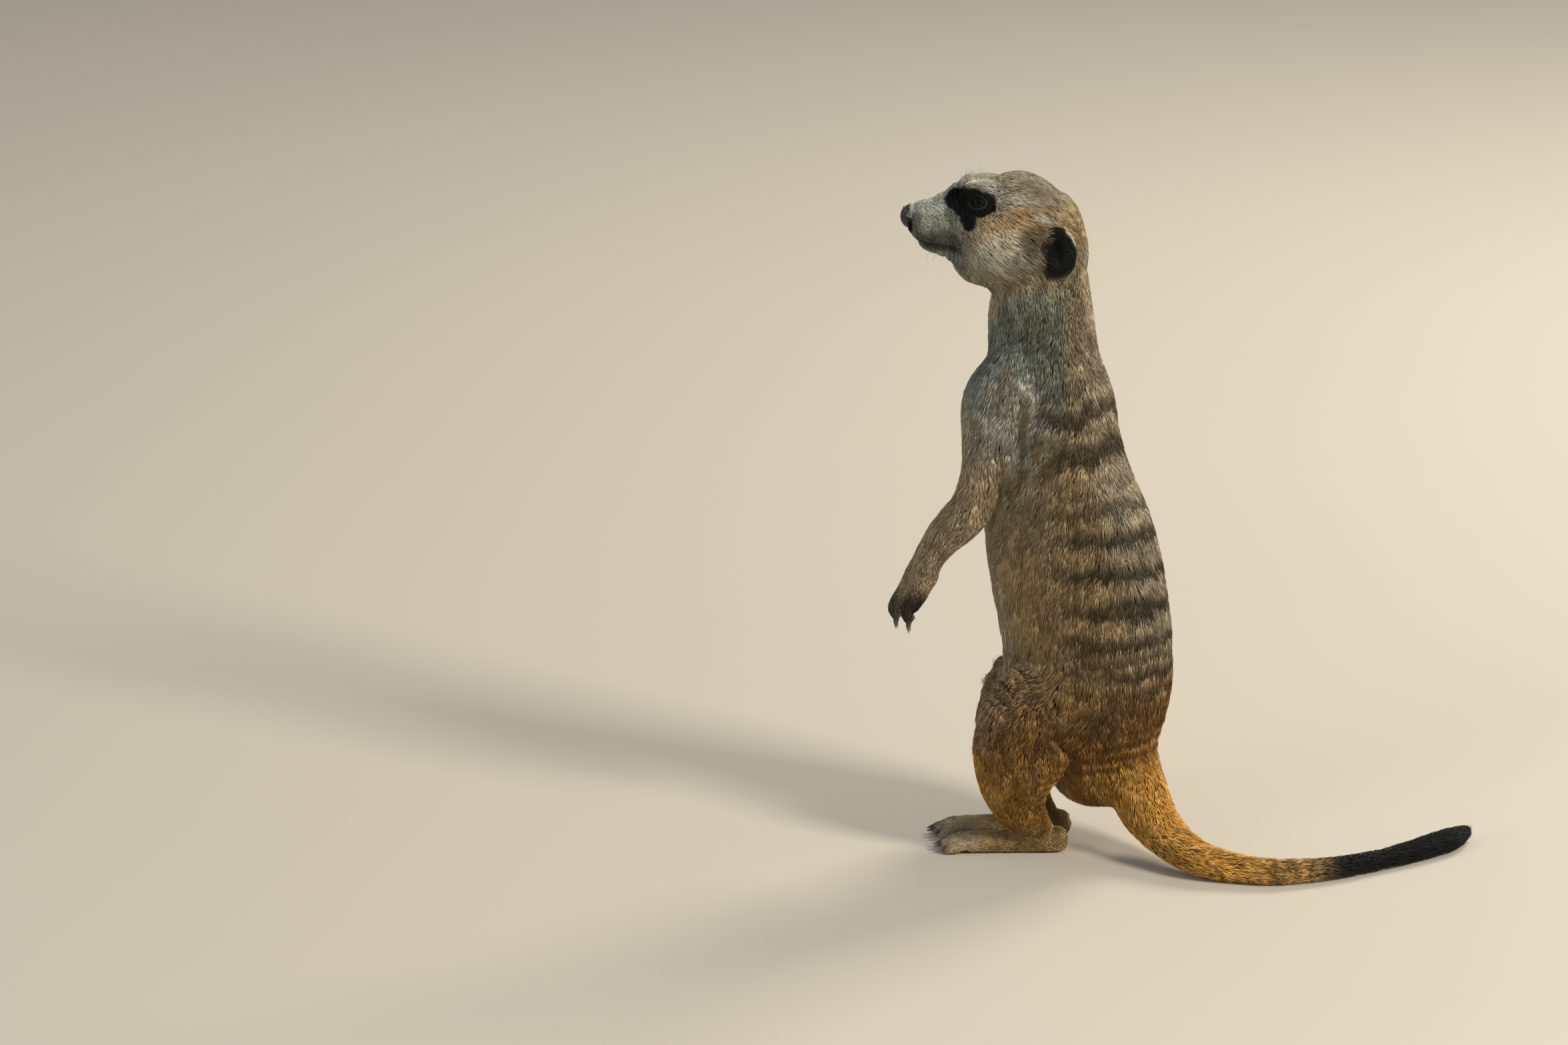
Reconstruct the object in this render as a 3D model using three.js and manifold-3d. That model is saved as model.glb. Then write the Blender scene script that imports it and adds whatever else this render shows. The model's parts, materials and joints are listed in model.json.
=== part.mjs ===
// A life-size meerkat standing upright on its hind feet, in millimetres, +Z up.
// It looks along -X, its right side is towards +Y, and it rests on z = 0 on flats under its feet and tail.
// The flesh is one field of blended tubes and lumps, turned into faceted solids body part by body part.
import * as THREE from "three";
import { mergeVertices } from "three/addons/utils/BufferGeometryUtils.js";
import Module from "manifold-3d";

const wasm = await Module();
wasm.setup();

// ---- Driving sizes ----
const GAP = 0.3; // clearance between neighbouring body parts
const SEAM_GAP = 0.5; // and where the seam is a curved one
const FLAT = 0.8; // how far soles and tail would reach below the floor if they weren't flattened
const HEAD = [-30, 4, 266.9]; // middle of the face, between the cheeks
const EYE = { at: [-8.8, 11.6, 14.4], radius: 4.9 }; // in the head's frame, left and right alike
const BODY_CENTRE = [48.87, -16.79]; // middle of the footprint box, which becomes the origin
const NECK = { bottom: 213, top: 241 }; // heights where the neck is parted from chest and head
const ANKLE = 12; // height where a foot is parted from its shank
const CLAW_SIDES = 5;
const CLAW_TAPER = 0.72; // how much of its radius a claw would lose by its tip
const CLAW_HEIGHT = 1.25; // a claw's height over its width
const TIDY = [0.05, 0.03, 0.07, 0.02, 0.1]; // facets that matter less than this are merged away
const COARSE = 0.5; // and before the cuts, facets of a cutter that matter less than this
const COARSE_SHARE = 0.08; // or, of a body part, less than this share of its cell
const OVERREACH = 3; // how far past a seam, or past the skin, a shape runs before it is trimmed

// Cell edge of each faceted region, smallest where the form is smallest.
const CELL = {
  head: 7, nose: 3.2, ear: 3.7, neck: 9.5, trunk: 13, cutter: 8.5,
  arm: 7.4, hand: 3.2, thigh: 9.5, shank: 7.8, foot: 4.8, tail: 5.8,
};

// ---- Body forms ----
// A tube's rows: x, y, z of the section's centre, its reach to the front, back and side,
// how softly it melts into what is already there, and the section's yaw in degrees.
// Front is the way of tangent x side: ahead on a tube that climbs, up on one that runs along +X.
const SPINE = [
  [12.5, 0, 38, 22, 22, 23, 8, 18],
  [10.5, 0, 52, 31, 31, 29, 8, 21],
  [9, 0, 70, 36, 36, 32, 8, 24],
  [8.2, 0, 90.7, 37, 36.4, 33.5, 8, 26],
  [5.1, 0, 111.3, 37.6, 36.6, 34, 8, 27],
  [1.5, 0, 131.9, 37.6, 35.7, 34, 8, 28],
  [-3, 0, 152.5, 34.4, 31.4, 33, 8, 28],
  [-5.5, 0, 173.1, 29.6, 26.4, 31, 8, 28],
  [-6.5, 0.5, 191, 27.6, 25, 28.5, 8, 26],
  [-9.2, 1, 206, 26, 22.8, 24.5, 8, 22],
  [-10.4, 1.5, 217, 24.4, 21.6, 21.5, 8, 16],
  [-11.4, 2.5, 236, 23, 20.3, 20.5, 8, 8],
  [-10, 3.5, 254, 18, 16.5, 19, 8, 3],
];
const LEFT_ARM = [
  [-23.5, -11, 208, 13, 14, 13, 12, 0],
  [-30.5, -14, 195.5, 14.5, 15.8, 13.5, 10, 0],
  [-35, -16, 178, 10, 11.2, 9.5, 6, 0],
  [-38, -17.5, 165, 8.2, 8.6, 8, 4, 0],
  [-42, -18, 151, 8.6, 9, 9, 3, 0],
  [-47.5, -17, 143, 7.4, 9.3, 9, 3, 0],
  [-53.8, -15.5, 136, 6, 7.8, 8, 3, 0],
  [-59.2, -14.5, 128.2, 5.4, 6, 6.4, 3, 0],
  [-62, -14, 120.5, 5.2, 5.2, 6, 3, 0],
];
const RIGHT_ARM = [
  [-8, 20, 203, 13, 14, 14, 12, 0],
  [-16, 24.5, 188, 12, 12.5, 12.5, 10, 0],
  [-29, 27.5, 161, 8.6, 8.6, 8.6, 6, 0],
  [-41, 25.5, 142, 8.4, 8.4, 8.8, 4, 0],
  [-51, 20, 132, 7.6, 7.6, 8.4, 3, 0],
  [-58.6, 16.5, 122.5, 6.2, 6.2, 6.8, 3, 0],
  [-63.6, 14.8, 114, 5.2, 5.2, 5.8, 3, 0],
];
const LEFT_LEG = [
  [13, -15, 68, 22, 22, 17, 12, 0],
  [-5, -20, 68, 21.5, 20, 15, 13, 0],
  [-18.5, -22.5, 64, 22, 18.6, 13.6, 10, 0],
  [-26, -23.5, 52, 26, 15, 12.6, 11, 0],
  [-27.2, -23.5, 43.5, 27, 13.4, 12, 12, 0],
  [-25.5, -22, 30.5, 22, 12, 10.6, 7, 0],
  [-19.8, -19, 18.5, 11, 10, 8.6, 3, 0],
  [-14, -16.5, 10, 8, 8, 7, 3, 0],
];
const RIGHT_LEG = [
  [17, 16, 68, 22, 22, 17, 12, 0],
  [-3, 19, 68, 21, 19.6, 15, 13, 0],
  [-16.5, 20.5, 64, 21.4, 18, 13.6, 10, 0],
  [-24, 21, 52, 25, 14.6, 12.6, 11, 0],
  [-25.5, 20.5, 43.5, 26, 13, 12, 12, 0],
  [-23.5, 18.5, 30.5, 21, 12, 10.6, 7, 0],
  [-18, 15, 18.5, 11, 10, 8.6, 3, 0],
  [-12, 12.5, 10, 8, 8, 7, 3, 0],
];
const TAIL = [
  [21, -4, 48, 14, 14, 13, 9, 24],
  [26, -7, 36, 12.8, 12.8, 12.6, 7, 0],
  [29.8, -13, 26, 12.8, 12.8, 12.6, 4, 0],
  [34.2, -22, 18.2, 11.4, 11.4, 11.4, 3, 0],
  [41, -35.5, 12.8, 9.6, 9.6, 9.6, 3, 0],
  [48.3, -47, 9.4, 8.4, 8.4, 8.4, 3, 0],
  [57, -56.2, 7.3, 7.6, 7.6, 7.6, 3, 0],
  [73, -62.5, 5.6, 6.3, 6.3, 6.3, 3, 0],
  [88, -64.5, 5.1, 5.9, 5.9, 5.9, 3, 0],
  [110, -57, 4.4, 5.2, 5.2, 5.2, 3, 0],
  [132, -42, 3.9, 4.8, 4.8, 4.8, 3, 0],
  [148, -29, 4.4, 5.2, 5.2, 5.2, 3, 0],
  [163, -14, 4.6, 5.4, 5.4, 5.4, 3, 0],
  [171, 1, 4, 3, 3, 3, 3, 0],
];
// The head's tube runs from nose to nape in the head's own frame, so front is up and back is down.
const SKULL = [
  [-37.4, 0, 6.4, 4.8, 5.6, 4.8, 3, 0],
  [-33.5, 0, 5.4, 8, 8.8, 7.8, 3, 0],
  [-26, 0, 3.6, 11.6, 12.4, 10.4, 3, 0],
  [-20.5, 0, 3.8, 13.6, 18.6, 12.4, 3, 0],
  [-15.5, 0, 4.2, 17.4, 22, 15.4, 3, 0],
  [-9, 0, 3.4, 19.6, 25.6, 18.8, 3, 0],
  [-2, 0, 2, 21.8, 26, 21.4, 3, 0],
  [6, 0, 1.2, 24.2, 24, 23, 3, 0],
  [12.5, 0, 0.2, 22.6, 20, 23.2, 3, 0],
  [18.6, 0, -1.4, 19.2, 15.6, 21, 3, 0],
];
// Lumps: middle, half-lengths and softness, in the head's frame, left and right alike.
const HEAD_LUMPS = [
  [[-8.5, 9.4, 18.8], [8, 6.4, 4], 4], // brow over the eye
  [[3, 15.5, -4], [15, 9, 13], 6], // cheek
  [[-27.5, 5.6, 3], [9, 5.4, 6.4], 3], // whisker pad
  [[-24, 0, -5.4], [10, 6.6, 4.4], 3], // chin
];
const HEAD_SOFT = 10; // how softly the head melts into the neck
const EYE_SOCKET = [[-9.4, 17.8, 14.2], [6.6, 4.4, 4.8], 3];
const EAR_SHELL = [[22.8, 20.2, -5.2], [8.4, 4.9, 10.6]];
const EAR_SOFT = 3;
const EAR_ROOM = 1.25; // the round block an ear is cut in, as a share of its shell
const EAR_HOLLOW = [[22, 26.4, -5.2], [5.2, 5.8, 7.4]];
const MOUTH = { front: [-36, -0.8], corner: [-14, -5], ahead: 6, halfWidth: 16, depth: 20 };
const NOSE_PAD_X = -37.4; // everything of the head ahead of this is the bare nose

// Fingers and toes: each digit is a short tube that ends in a claw.
const DIGIT_SPREAD = [-1.5, -0.5, 0.5, 1.5]; // places across the hand or foot, in digit spacings
const HANDS = {
  left: { wrist: [-62, -14, 120.5], palm: [-64.4, -13.6, 114], knuckle: [-66.8, -13, 108.6], reach: [-2.4, -6.2] },
  right: { wrist: [-63.6, 14.8, 114], palm: [-67.6, 14, 108], knuckle: [-71.6, 13.5, 102.8], reach: [-2.6, -5.4] },
};
const FEET = {
  left: { heel: [-5, -14.2, 5.6], ball: [-41.5, -13, 3.8], toe: 11 },
  right: { heel: [-3, 11, 5.6], ball: [-43.5, 12, 3.8], toe: 11.5 },
};
const FINGER_SPACING = 3.5;
const FINGER_RADIUS = 2.3;
const TOE_SPACING = 3.9;
const TOE_RADIUS = 2.6;
const HAND_CLAW = { length: 6.4, radius: 1.15, along: [-0.3, 0, -1], bend: [0.3, 0, 0] };
const FOOT_CLAW = { length: 4.4, radius: 1.1, along: [-1, 0, 0.05], bend: [0, 0, -0.3] };
// Reach to the front, back and side, and softness, at wrist, palm and knuckles, and at ball, middle and heel.
const HAND_SIZES = [[5.2, 5.2, 6, 2], [4.6, 4.6, 6.8, 2], [3.4, 3.4, 6.6, 2]];
const FOOT_SIZES = [[3.8, 5, 7.6, 3], [4.4, 6.4, 6.6, 3], [5.4, 6.8, 6, 3]];

// ---- Where the body is parted ----
// Low and high corners of the block that each body part's flesh is taken from.
const ROOM = {
  head: [[-75, -30, NECK.top + GAP / 2], [15, 40, 300]],
  nose: [[-75, -15, 255], [-60, 25, 290]],
  neck: [[-50, -40, NECK.bottom + GAP / 2], [40, 40, NECK.top - GAP / 2]],
  trunk: [[-60, -50, 0], [60, 60, NECK.bottom - GAP / 2]],
  arm_left: [[-85, -40, HANDS.left.wrist[2] + GAP / 2], [10, 20, NECK.bottom - GAP / 2]],
  arm_right: [[-85, -5, HANDS.right.wrist[2] + GAP / 2], [10, 50, NECK.bottom - GAP / 2]],
  hand_left: [[-90, -40, 85], [-45, 0, HANDS.left.wrist[2] - GAP / 2]],
  hand_right: [[-90, 0, 85], [-45, 40, HANDS.right.wrist[2] - GAP / 2]],
  thigh_left: [[-60, -50, 20], [50, 8, 110]],
  thigh_right: [[-60, -8, 20], [50, 50, 110]],
  shank_left: [[-60, -50, ANKLE + GAP / 2], [20, 8, 70]],
  shank_right: [[-60, -8, ANKLE + GAP / 2], [20, 50, 70]],
  foot_left: [[-70, -40, 0], [20, 0, ANKLE - GAP / 2]],
  foot_right: [[-70, 0, 0], [20, 40, ANKLE - GAP / 2]],
  tail_root: [[0, -60, 0], [60, 10, 75]],
  tail: [[30, -95, 0], [180, 10, 40]],
};
// Planes between neighbours: a point, and the way the plane faces.
const CUTS = {
  nose: [[HEAD[0] + NOSE_PAD_X, HEAD[1], HEAD[2]], [1, 0, 0.25]],
  rump: [[10, 0, 82], [0, 0, 1]],
  loin: [[0, 0, 142], [-0.1, 0, 1]],
  elbow_left: [LEFT_ARM[4].slice(0, 3), [0.55, 0, 1]],
  elbow_right: [RIGHT_ARM[3].slice(0, 3), [0.55, 0, 1]],
  knee_left: [LEFT_LEG[3].slice(0, 3), [0.45, 0, 1]],
  knee_right: [RIGHT_LEG[3].slice(0, 3), [0.45, 0, 1]],
  tail_root: [TAIL[4].slice(0, 3), [0.35, -0.9, -0.3]],
  tail_middle: [TAIL[8].slice(0, 3), [0.9, 0.3, 0]],
  tail_end: [TAIL[10].slice(0, 3), [0.82, 0.57, 0]],
};

// ---- The field ----
const vec = (p) => new THREE.Vector3(...p);
const INNER_CAP = 0.3; // how round the joints inside a tube are, next to its ends
const STEPS = 3; // how many pieces each stretch between two rows is smoothed into

// Rows carried along a Catmull-Rom path, each with the two directions across its section.
function tube(rows) {
  const smooth = (a, b, c, d, t) =>
    0.5 * (2 * b + (c - a) * t + (2 * a - 5 * b + 4 * c - d) * t * t + (3 * b - a - 3 * c + d) * t * t * t);
  const fine = [];
  for (let i = 0; i < rows.length - 1; i++) {
    const [a, b, c, d] = [rows[Math.max(i - 1, 0)], rows[i], rows[i + 1], rows[Math.min(i + 2, rows.length - 1)]];
    for (let s = 0; s < STEPS; s++) fine.push(b.map((_, k) => smooth(a[k], b[k], c[k], d[k], s / STEPS)));
  }
  fine.push(rows.at(-1));
  return fine.map((row, i) => {
    const before = vec(fine[Math.max(i - 1, 0)].slice(0, 3));
    const after = vec(fine[Math.min(i + 1, fine.length - 1)].slice(0, 3));
    const tangent = after.sub(before).normalize();
    const yaw = THREE.MathUtils.degToRad(row[7]);
    const front = tangent.clone().cross(new THREE.Vector3(Math.sin(yaw), Math.cos(yaw), 0)).normalize();
    const side = front.clone().cross(tangent);
    return { at: vec(row.slice(0, 3)), front, side, sizes: row.slice(3, 7) };
  });
}

const mix = (a, b, t) => a + (b - a) * t;

// How far a point at offset q is outside an ellipsoid, along the ray from its middle.
function outside(q, squares) {
  const length = q.length();
  const k = Math.sqrt(squares);
  return k < 1e-4 ? -1e3 : length * (1 - 1 / k);
}

// [distance to a tube, its softness there]
function tubeField(nodes, p) {
  let best = [Infinity, 0];
  for (let i = 0; i < nodes.length - 1; i++) {
    const [a, b] = [nodes[i], nodes[i + 1]];
    const along = b.at.clone().sub(a.at);
    const length = along.length();
    const h = THREE.MathUtils.clamp(p.clone().sub(a.at).dot(along) / length ** 2, 0, 1);
    const q = p.clone().sub(a.at).addScaledVector(along, -h);
    const [front, back, side, soft] = a.sizes.map((v, k) => mix(v, b.sizes[k], h));
    const u = q.dot(a.front.clone().lerp(b.front, h));
    const v = q.dot(a.side.clone().lerp(b.side, h));
    const w = q.dot(along) / length;
    const atEnd = w < 0 ? i === 0 : i === nodes.length - 2; // only a tube's own ends are rounded
    const cap = Math.min(front, back, side) * (atEnd ? 1 : INNER_CAP);
    const d = outside(q, (u / (u > 0 ? front : back)) ** 2 + (v / side) ** 2 + (w / cap) ** 2);
    if (d < best[0]) best = [d, soft];
  }
  return best;
}

function lump([middle, half], p) {
  const q = p.clone().sub(vec(middle));
  return outside(q, (q.x / half[0]) ** 2 + (q.y / half[1]) ** 2 + (q.z / half[2]) ** 2);
}

const join = (a, b, soft) => Math.min(a, b) - Math.max(soft - Math.abs(a - b), 0) ** 2 / (4 * soft);
const carve = (a, b, soft) => -join(-a, b, soft);

const spine = tube(SPINE);
const skull = tube(SKULL);
const arms = { left: tube(LEFT_ARM), right: tube(RIGHT_ARM) };
const legs = { left: tube(LEFT_LEG), right: tube(RIGHT_LEG) };
const tail = tube(TAIL);

const inHead = (p) => new THREE.Vector3(p.x - HEAD[0], Math.abs(p.y - HEAD[1]), p.z - HEAD[2]);

function headField(p) {
  const q = inHead(p);
  let d = tubeField(skull, q)[0];
  for (const shape of HEAD_LUMPS) d = join(d, lump(shape, q), shape[2]);
  d = carve(d, lump(EYE_SOCKET, q), EYE_SOCKET[2]);
  const ear = Math.max(lump(EAR_SHELL, q), -lump(EAR_HOLLOW, q));
  return join(d, ear, EAR_SOFT);
}

function handForms(hand) {
  const places = [hand.wrist, hand.palm, hand.knuckle];
  const back = tube(places.map((place, i) => [...place, ...HAND_SIZES[i], 0]));
  return [back, ...DIGIT_SPREAD.map((s) => tube(fingerRows(hand, s)))];
}

function fingerRows(hand, s) {
  const [x, y, z] = hand.knuckle;
  const across = s * FINGER_SPACING;
  const short = Math.abs(s) > 1 ? 0.72 : 1; // the outer fingers are shorter
  const [dx, dz] = hand.reach.map((v) => v * short);
  const r = FINGER_RADIUS;
  return [
    [x + 1, y + across * 0.8, z + 3, r, r, r, 1.5, 0],
    [x + dx, y + across, z + dz * 0.45, r, r, r, 0.8, 0],
    [x + dx * 0.9 + 0.6, y + across * 1.05, z + dz, r * 0.82, r * 0.82, r * 0.86, 0.6, 0],
  ];
}

function footRows(foot) {
  const [heel, ball] = [foot.heel, foot.ball];
  const middle = heel.map((v, k) => mix(v, ball[k], 0.45));
  return [ball, middle, heel].map((place, i) => [...place, ...FOOT_SIZES[i], 0]);
}

function toeRows(foot, s) {
  const [x, y] = foot.ball;
  const across = s * TOE_SPACING;
  const reach = foot.toe * (Math.abs(s) > 1 ? 0.8 : 1);
  const r = TOE_RADIUS;
  return [
    [x - reach, y + across * 1.12, r - FLAT, r * 0.9, r, r * 0.95, 0.8, 0],
    [x - reach * 0.5, y + across * 1.05, 3.6, r, r, r, 0.8, 0],
    [x + 2, y + across * 0.8, 4, r, r, r, 1.5, 0],
  ];
}

const sides = ["left", "right"];
const handTubes = {};
const footTubes = {};
for (const side of sides) {
  handTubes[side] = handForms(HANDS[side]);
  footTubes[side] = [tube(footRows(FEET[side])), ...DIGIT_SPREAD.map((s) => tube(toeRows(FEET[side], s)))];
}

// Each group of forms is one limb or the trunk. A group's own field says which part owns a point.
const GROUPS = {
  tail: { tubes: [tail] },
  left_arm: { tubes: [arms.left, ...handTubes.left] },
  right_arm: { tubes: [arms.right, ...handTubes.right] },
  left_leg: { tubes: [legs.left, ...footTubes.left] },
  right_leg: { tubes: [legs.right, ...footTubes.right] },
  trunk: { tubes: [spine] },
};

// Room round each group within which its field is worked out; further off it is only "far away".
const REACH = 26;
const TRUNK_REACH = 46;
for (const [name, group] of Object.entries(GROUPS)) {
  group.box = new THREE.Box3();
  for (const node of group.tubes.flat()) group.box.expandByPoint(node.at);
  if (name === "trunk") group.box.union(new THREE.Box3(...ROOM.head.map(vec)));
  group.box.expandByScalar(name === "trunk" ? TRUNK_REACH : REACH);
}

function groupField(name, p) {
  if (!GROUPS[name].box.containsPoint(p)) return [REACH, 1];
  let d = Infinity;
  let outerSoft = 0;
  for (const nodes of GROUPS[name].tubes) {
    const [near, soft] = tubeField(nodes, p);
    if (d === Infinity) [d, outerSoft] = [near, soft];
    else d = join(d, near, soft);
  }
  return [name === "trunk" ? join(d, headField(p), HEAD_SOFT) : d, outerSoft];
}

// The whole body's field at p, and the groups' own distances.
function body(p) {
  const own = {};
  let d = Infinity;
  for (const name of Object.keys(GROUPS)) {
    const [near, soft] = groupField(name, p);
    own[name] = near;
    d = d === Infinity ? near : join(d, near, soft);
  }
  return { d, own };
}

// How much nearer p is to other groups than to this one: zero on the seam between them.
function seam(own, name) {
  return (own[name] - Math.min(...Object.keys(own).filter((n) => n !== name).map((n) => own[n]))) / 2;
}

// ---- From field to faceted solid ----
const CORNERS = [0, 1, 2, 3, 4, 5, 6, 7].map((c) => [c & 1, (c >> 1) & 1, c >> 2]);
const EDGES = CORNERS.flatMap((_, a) => [1, 2, 4].filter((bit) => !(a & bit)).map((bit) => [a, a | bit]));

// A surface net: one vertex in each cell that the surface crosses, one quad round each crossed grid edge.
function surfaceNet(field, low, high, cell) {
  const n = low.map((v, k) => Math.ceil((high[k] - v) / cell) + 1);
  const index = (i, j, k) => i + n[0] * (j + n[1] * k);
  const place = (i, j, k) => new THREE.Vector3(low[0] + i * cell, low[1] + j * cell, low[2] + k * cell);
  const values = new Float64Array(n[0] * n[1] * n[2]);
  for (let k = 0; k < n[2]; k++)
    for (let j = 0; j < n[1]; j++)
      for (let i = 0; i < n[0]; i++) {
        const edge = i === 0 || j === 0 || k === 0 || i === n[0] - 1 || j === n[1] - 1 || k === n[2] - 1;
        values[index(i, j, k)] = edge ? cell : field(place(i, j, k));
      }
  untangle(values, n);
  const points = [];
  const cellPoint = new Map();
  for (let k = 0; k < n[2] - 1; k++)
    for (let j = 0; j < n[1] - 1; j++)
      for (let i = 0; i < n[0] - 1; i++) {
        const at = CORNERS.map(([a, b, c]) => values[index(i + a, j + b, k + c)]);
        if (at.every((v) => v > 0) || at.every((v) => v <= 0)) continue;
        const sum = new THREE.Vector3();
        let count = 0;
        for (const [a, b] of EDGES)
          if (at[a] > 0 !== at[b] > 0) {
            const t = at[a] / (at[a] - at[b]);
            sum.add(vec(CORNERS[a].map((v, m) => mix(v, CORNERS[b][m], t))));
            count++;
          }
        cellPoint.set(index(i, j, k), points.length);
        points.push(settle(field, place(i, j, k).addScaledVector(sum, cell / count), cell));
      }
  const triangles = [];
  const step = [1, n[0], n[0] * n[1]];
  for (let k = 0; k < n[2] - 1; k++)
    for (let j = 0; j < n[1] - 1; j++)
      for (let i = 0; i < n[0] - 1; i++)
        for (let axis = 0; axis < 3; axis++) {
          const cellAt = [i, j, k];
          if (cellAt[(axis + 1) % 3] === 0 || cellAt[(axis + 2) % 3] === 0) continue;
          const here = index(i, j, k);
          const inside = values[here] <= 0;
          if (inside === values[here + step[axis]] <= 0) continue;
          const [u, v] = [step[(axis + 1) % 3], step[(axis + 2) % 3]];
          const ring = [here, here - u, here - u - v, here - v].map((c) => cellPoint.get(c));
          const [a, b, c, d] = inside ? ring : ring.reverse();
          if (points[a].distanceTo(points[c]) < points[b].distanceTo(points[d])) triangles.push(a, b, c, a, c, d);
          else triangles.push(b, c, d, b, d, a);
        }
  const geometry = new THREE.BufferGeometry();
  geometry.setAttribute("position", new THREE.Float32BufferAttribute(points.flatMap((p) => p.toArray()), 3));
  geometry.setIndex(triangles);
  return geometry;
}

// Turns inside corners outside until no face of the grid has its two inside corners on a diagonal.
function untangle(values, n) {
  const step = [1, n[0], n[0] * n[1]];
  for (let changed = true; changed; ) {
    changed = false;
    for (const [u, v] of [[step[0], step[1]], [step[1], step[2]], [step[2], step[0]]])
      for (let i = 0; i + u + v < values.length; i++) {
        const face = [i, i + u, i + u + v, i + v];
        const inside = face.map((c) => values[c] <= 0);
        if (inside[0] !== inside[2] || inside[1] !== inside[3] || inside[0] === inside[1]) continue;
        const pair = inside[0] ? [face[0], face[2]] : [face[1], face[3]];
        values[values[pair[0]] > values[pair[1]] ? pair[0] : pair[1]] = 1e-3;
        changed = true;
      }
  }
}

// Moves a point onto the surface, along the field's slope.
function settle(field, start, cell) {
  const p = start.clone();
  const e = 0.05;
  for (let round = 0; round < 3; round++) {
    const d = field(p);
    const slope = new THREE.Vector3(
      field(p.clone().setX(p.x + e)) - d,
      field(p.clone().setY(p.y + e)) - d,
      field(p.clone().setZ(p.z + e)) - d,
    ).divideScalar(e);
    const move = slope.multiplyScalar(-d / Math.max(slope.lengthSq(), 0.2));
    p.add(move.clampLength(0, cell / 3));
  }
  return p.sub(start).clampLength(0, cell * 0.45).add(start);
}

function solidOf(geometry) {
  const bare = geometry.clone();
  bare.deleteAttribute("normal");
  bare.deleteAttribute("uv");
  const merged = mergeVertices(bare, 1e-4);
  return new wasm.Manifold(
    new wasm.Mesh({
      numProp: 3,
      vertProperties: new Float32Array(merged.attributes.position.array),
      triVerts: new Uint32Array(merged.index.array),
    }),
  );
}

function geometryOf(solid) {
  const { numProp, numVert, vertProperties, triVerts } = solid.getMesh();
  const at = new Float32Array(numVert * 3);
  for (let i = 0; i < numVert; i++) at.set(vertProperties.subarray(i * numProp, i * numProp + 3), i * 3);
  const geometry = new THREE.BufferGeometry();
  geometry.setAttribute("position", new THREE.BufferAttribute(at, 3));
  geometry.setIndex(new THREE.BufferAttribute(triVerts, 1));
  geometry.computeVertexNormals();
  return geometry;
}

// A block that fills the half-space behind a plane, half a gap short of it.
function behind(point, normal) {
  const size = 900;
  const block = new THREE.BoxGeometry(size, size, size).translate(0, 0, -size / 2 - GAP / 2);
  const turn = new THREE.Quaternion().setFromUnitVectors(new THREE.Vector3(0, 0, 1), vec(normal).normalize());
  return solidOf(block.applyQuaternion(turn).translate(...point));
}

const reversed = (v) => v.map((x) => -x);

// Cuts a solid by planes [point, normal] into one piece more than there are planes.
function slices(solid, planes) {
  const pieces = [];
  let rest = solid;
  for (const [point, normal] of planes) {
    pieces.push(rest.intersect(behind(point, normal)));
    rest = rest.intersect(behind(point, reversed(normal)));
  }
  return [...pieces, rest];
}

// True where every edge joins exactly two facets, even after points in one place are merged.
function isSimple(geometry) {
  const merged = mergeVertices(new THREE.BufferGeometry().copy(geometry).deleteAttribute("normal"), 1e-3);
  const corners = merged.index.array;
  const uses = new Map();
  for (let i = 0; i < corners.length; i++) {
    const next = corners[i - (i % 3) + ((i + 1) % 3)];
    const key = Math.min(corners[i], next) * 1e6 + Math.max(corners[i], next);
    uses.set(key, (uses.get(key) ?? 0) + 1);
  }
  return [...uses.values()].every((n) => n === 2);
}

const largest = (solid) => solid.decompose().sort((a, b) => b.volume() - a.volume())[0];

// Each group's cutter: all that is nearer to that group than to any other, and a little outside the skin.
const CUTTERS = {};
function cutter(name, grow) {
  const key = name + grow;
  if (!CUTTERS[key]) {
    const field = (p) => {
      const { d, own } = body(p);
      return Math.max(d - OVERREACH, seam(own, name) - grow);
    };
    const { min, max } = GROUPS[name].box;
    CUTTERS[key] = solidOf(surfaceNet(field, min.toArray(), max.toArray(), CELL.cutter)).simplify(COARSE);
  }
  return CUTTERS[key];
}

// The part of one group inside a box, faceted at its own cell size and kept clear of the groups before it.
// Where the box holds only this group's flesh, no seam is needed.
function region(name, [low, high], cell, seamed = true) {
  const margin = cell * 1.5;
  const field = (p) => {
    const { d, own } = body(p);
    return seamed ? Math.max(d, seam(own, name) - OVERREACH) : d;
  };
  const wide = surfaceNet(field, low.map((v) => v - margin), high.map((v) => v + margin), cell);
  const size = high.map((v, k) => v - low[k]);
  const box = new THREE.BoxGeometry(...size).translate(...low.map((v, k) => v + size[k] / 2));
  let solid = solidOf(wide).simplify(cell * COARSE_SHARE).intersect(solidOf(box));
  if (!seamed) return solid;
  const names = Object.keys(GROUPS);
  if (name !== "trunk") solid = solid.intersect(cutter(name, 0));
  for (const other of names.slice(0, names.indexOf(name)))
    solid = solid.subtract(cutter(other, SEAM_GAP)).subtract(cutter(other, 0));
  return solid;
}

// ---- Body parts ----
const meerkat = new THREE.Group();
const materials = {
  fur: new THREE.MeshStandardMaterial({ color: 0x9c8466, roughness: 0.95, metalness: 0 }),
  rufous: new THREE.MeshStandardMaterial({ color: 0xa8702f, roughness: 0.95, metalness: 0 }),
  dark: new THREE.MeshStandardMaterial({ color: 0x1d1a19, roughness: 0.9, metalness: 0 }),
  eye: new THREE.MeshStandardMaterial({ color: 0x120c08, roughness: 0.08, metalness: 0 }),
  claw: new THREE.MeshStandardMaterial({ color: 0x3b2f28, roughness: 0.5, metalness: 0 }),
};

function add(name, solid, material) {
  const choices = TIDY.map((size) => geometryOf(largest(solid).simplify(size)));
  const mesh = new THREE.Mesh(choices.find(isSimple) ?? choices[0], materials[material]);
  mesh.name = name;
  meerkat.add(mesh);
}

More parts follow.
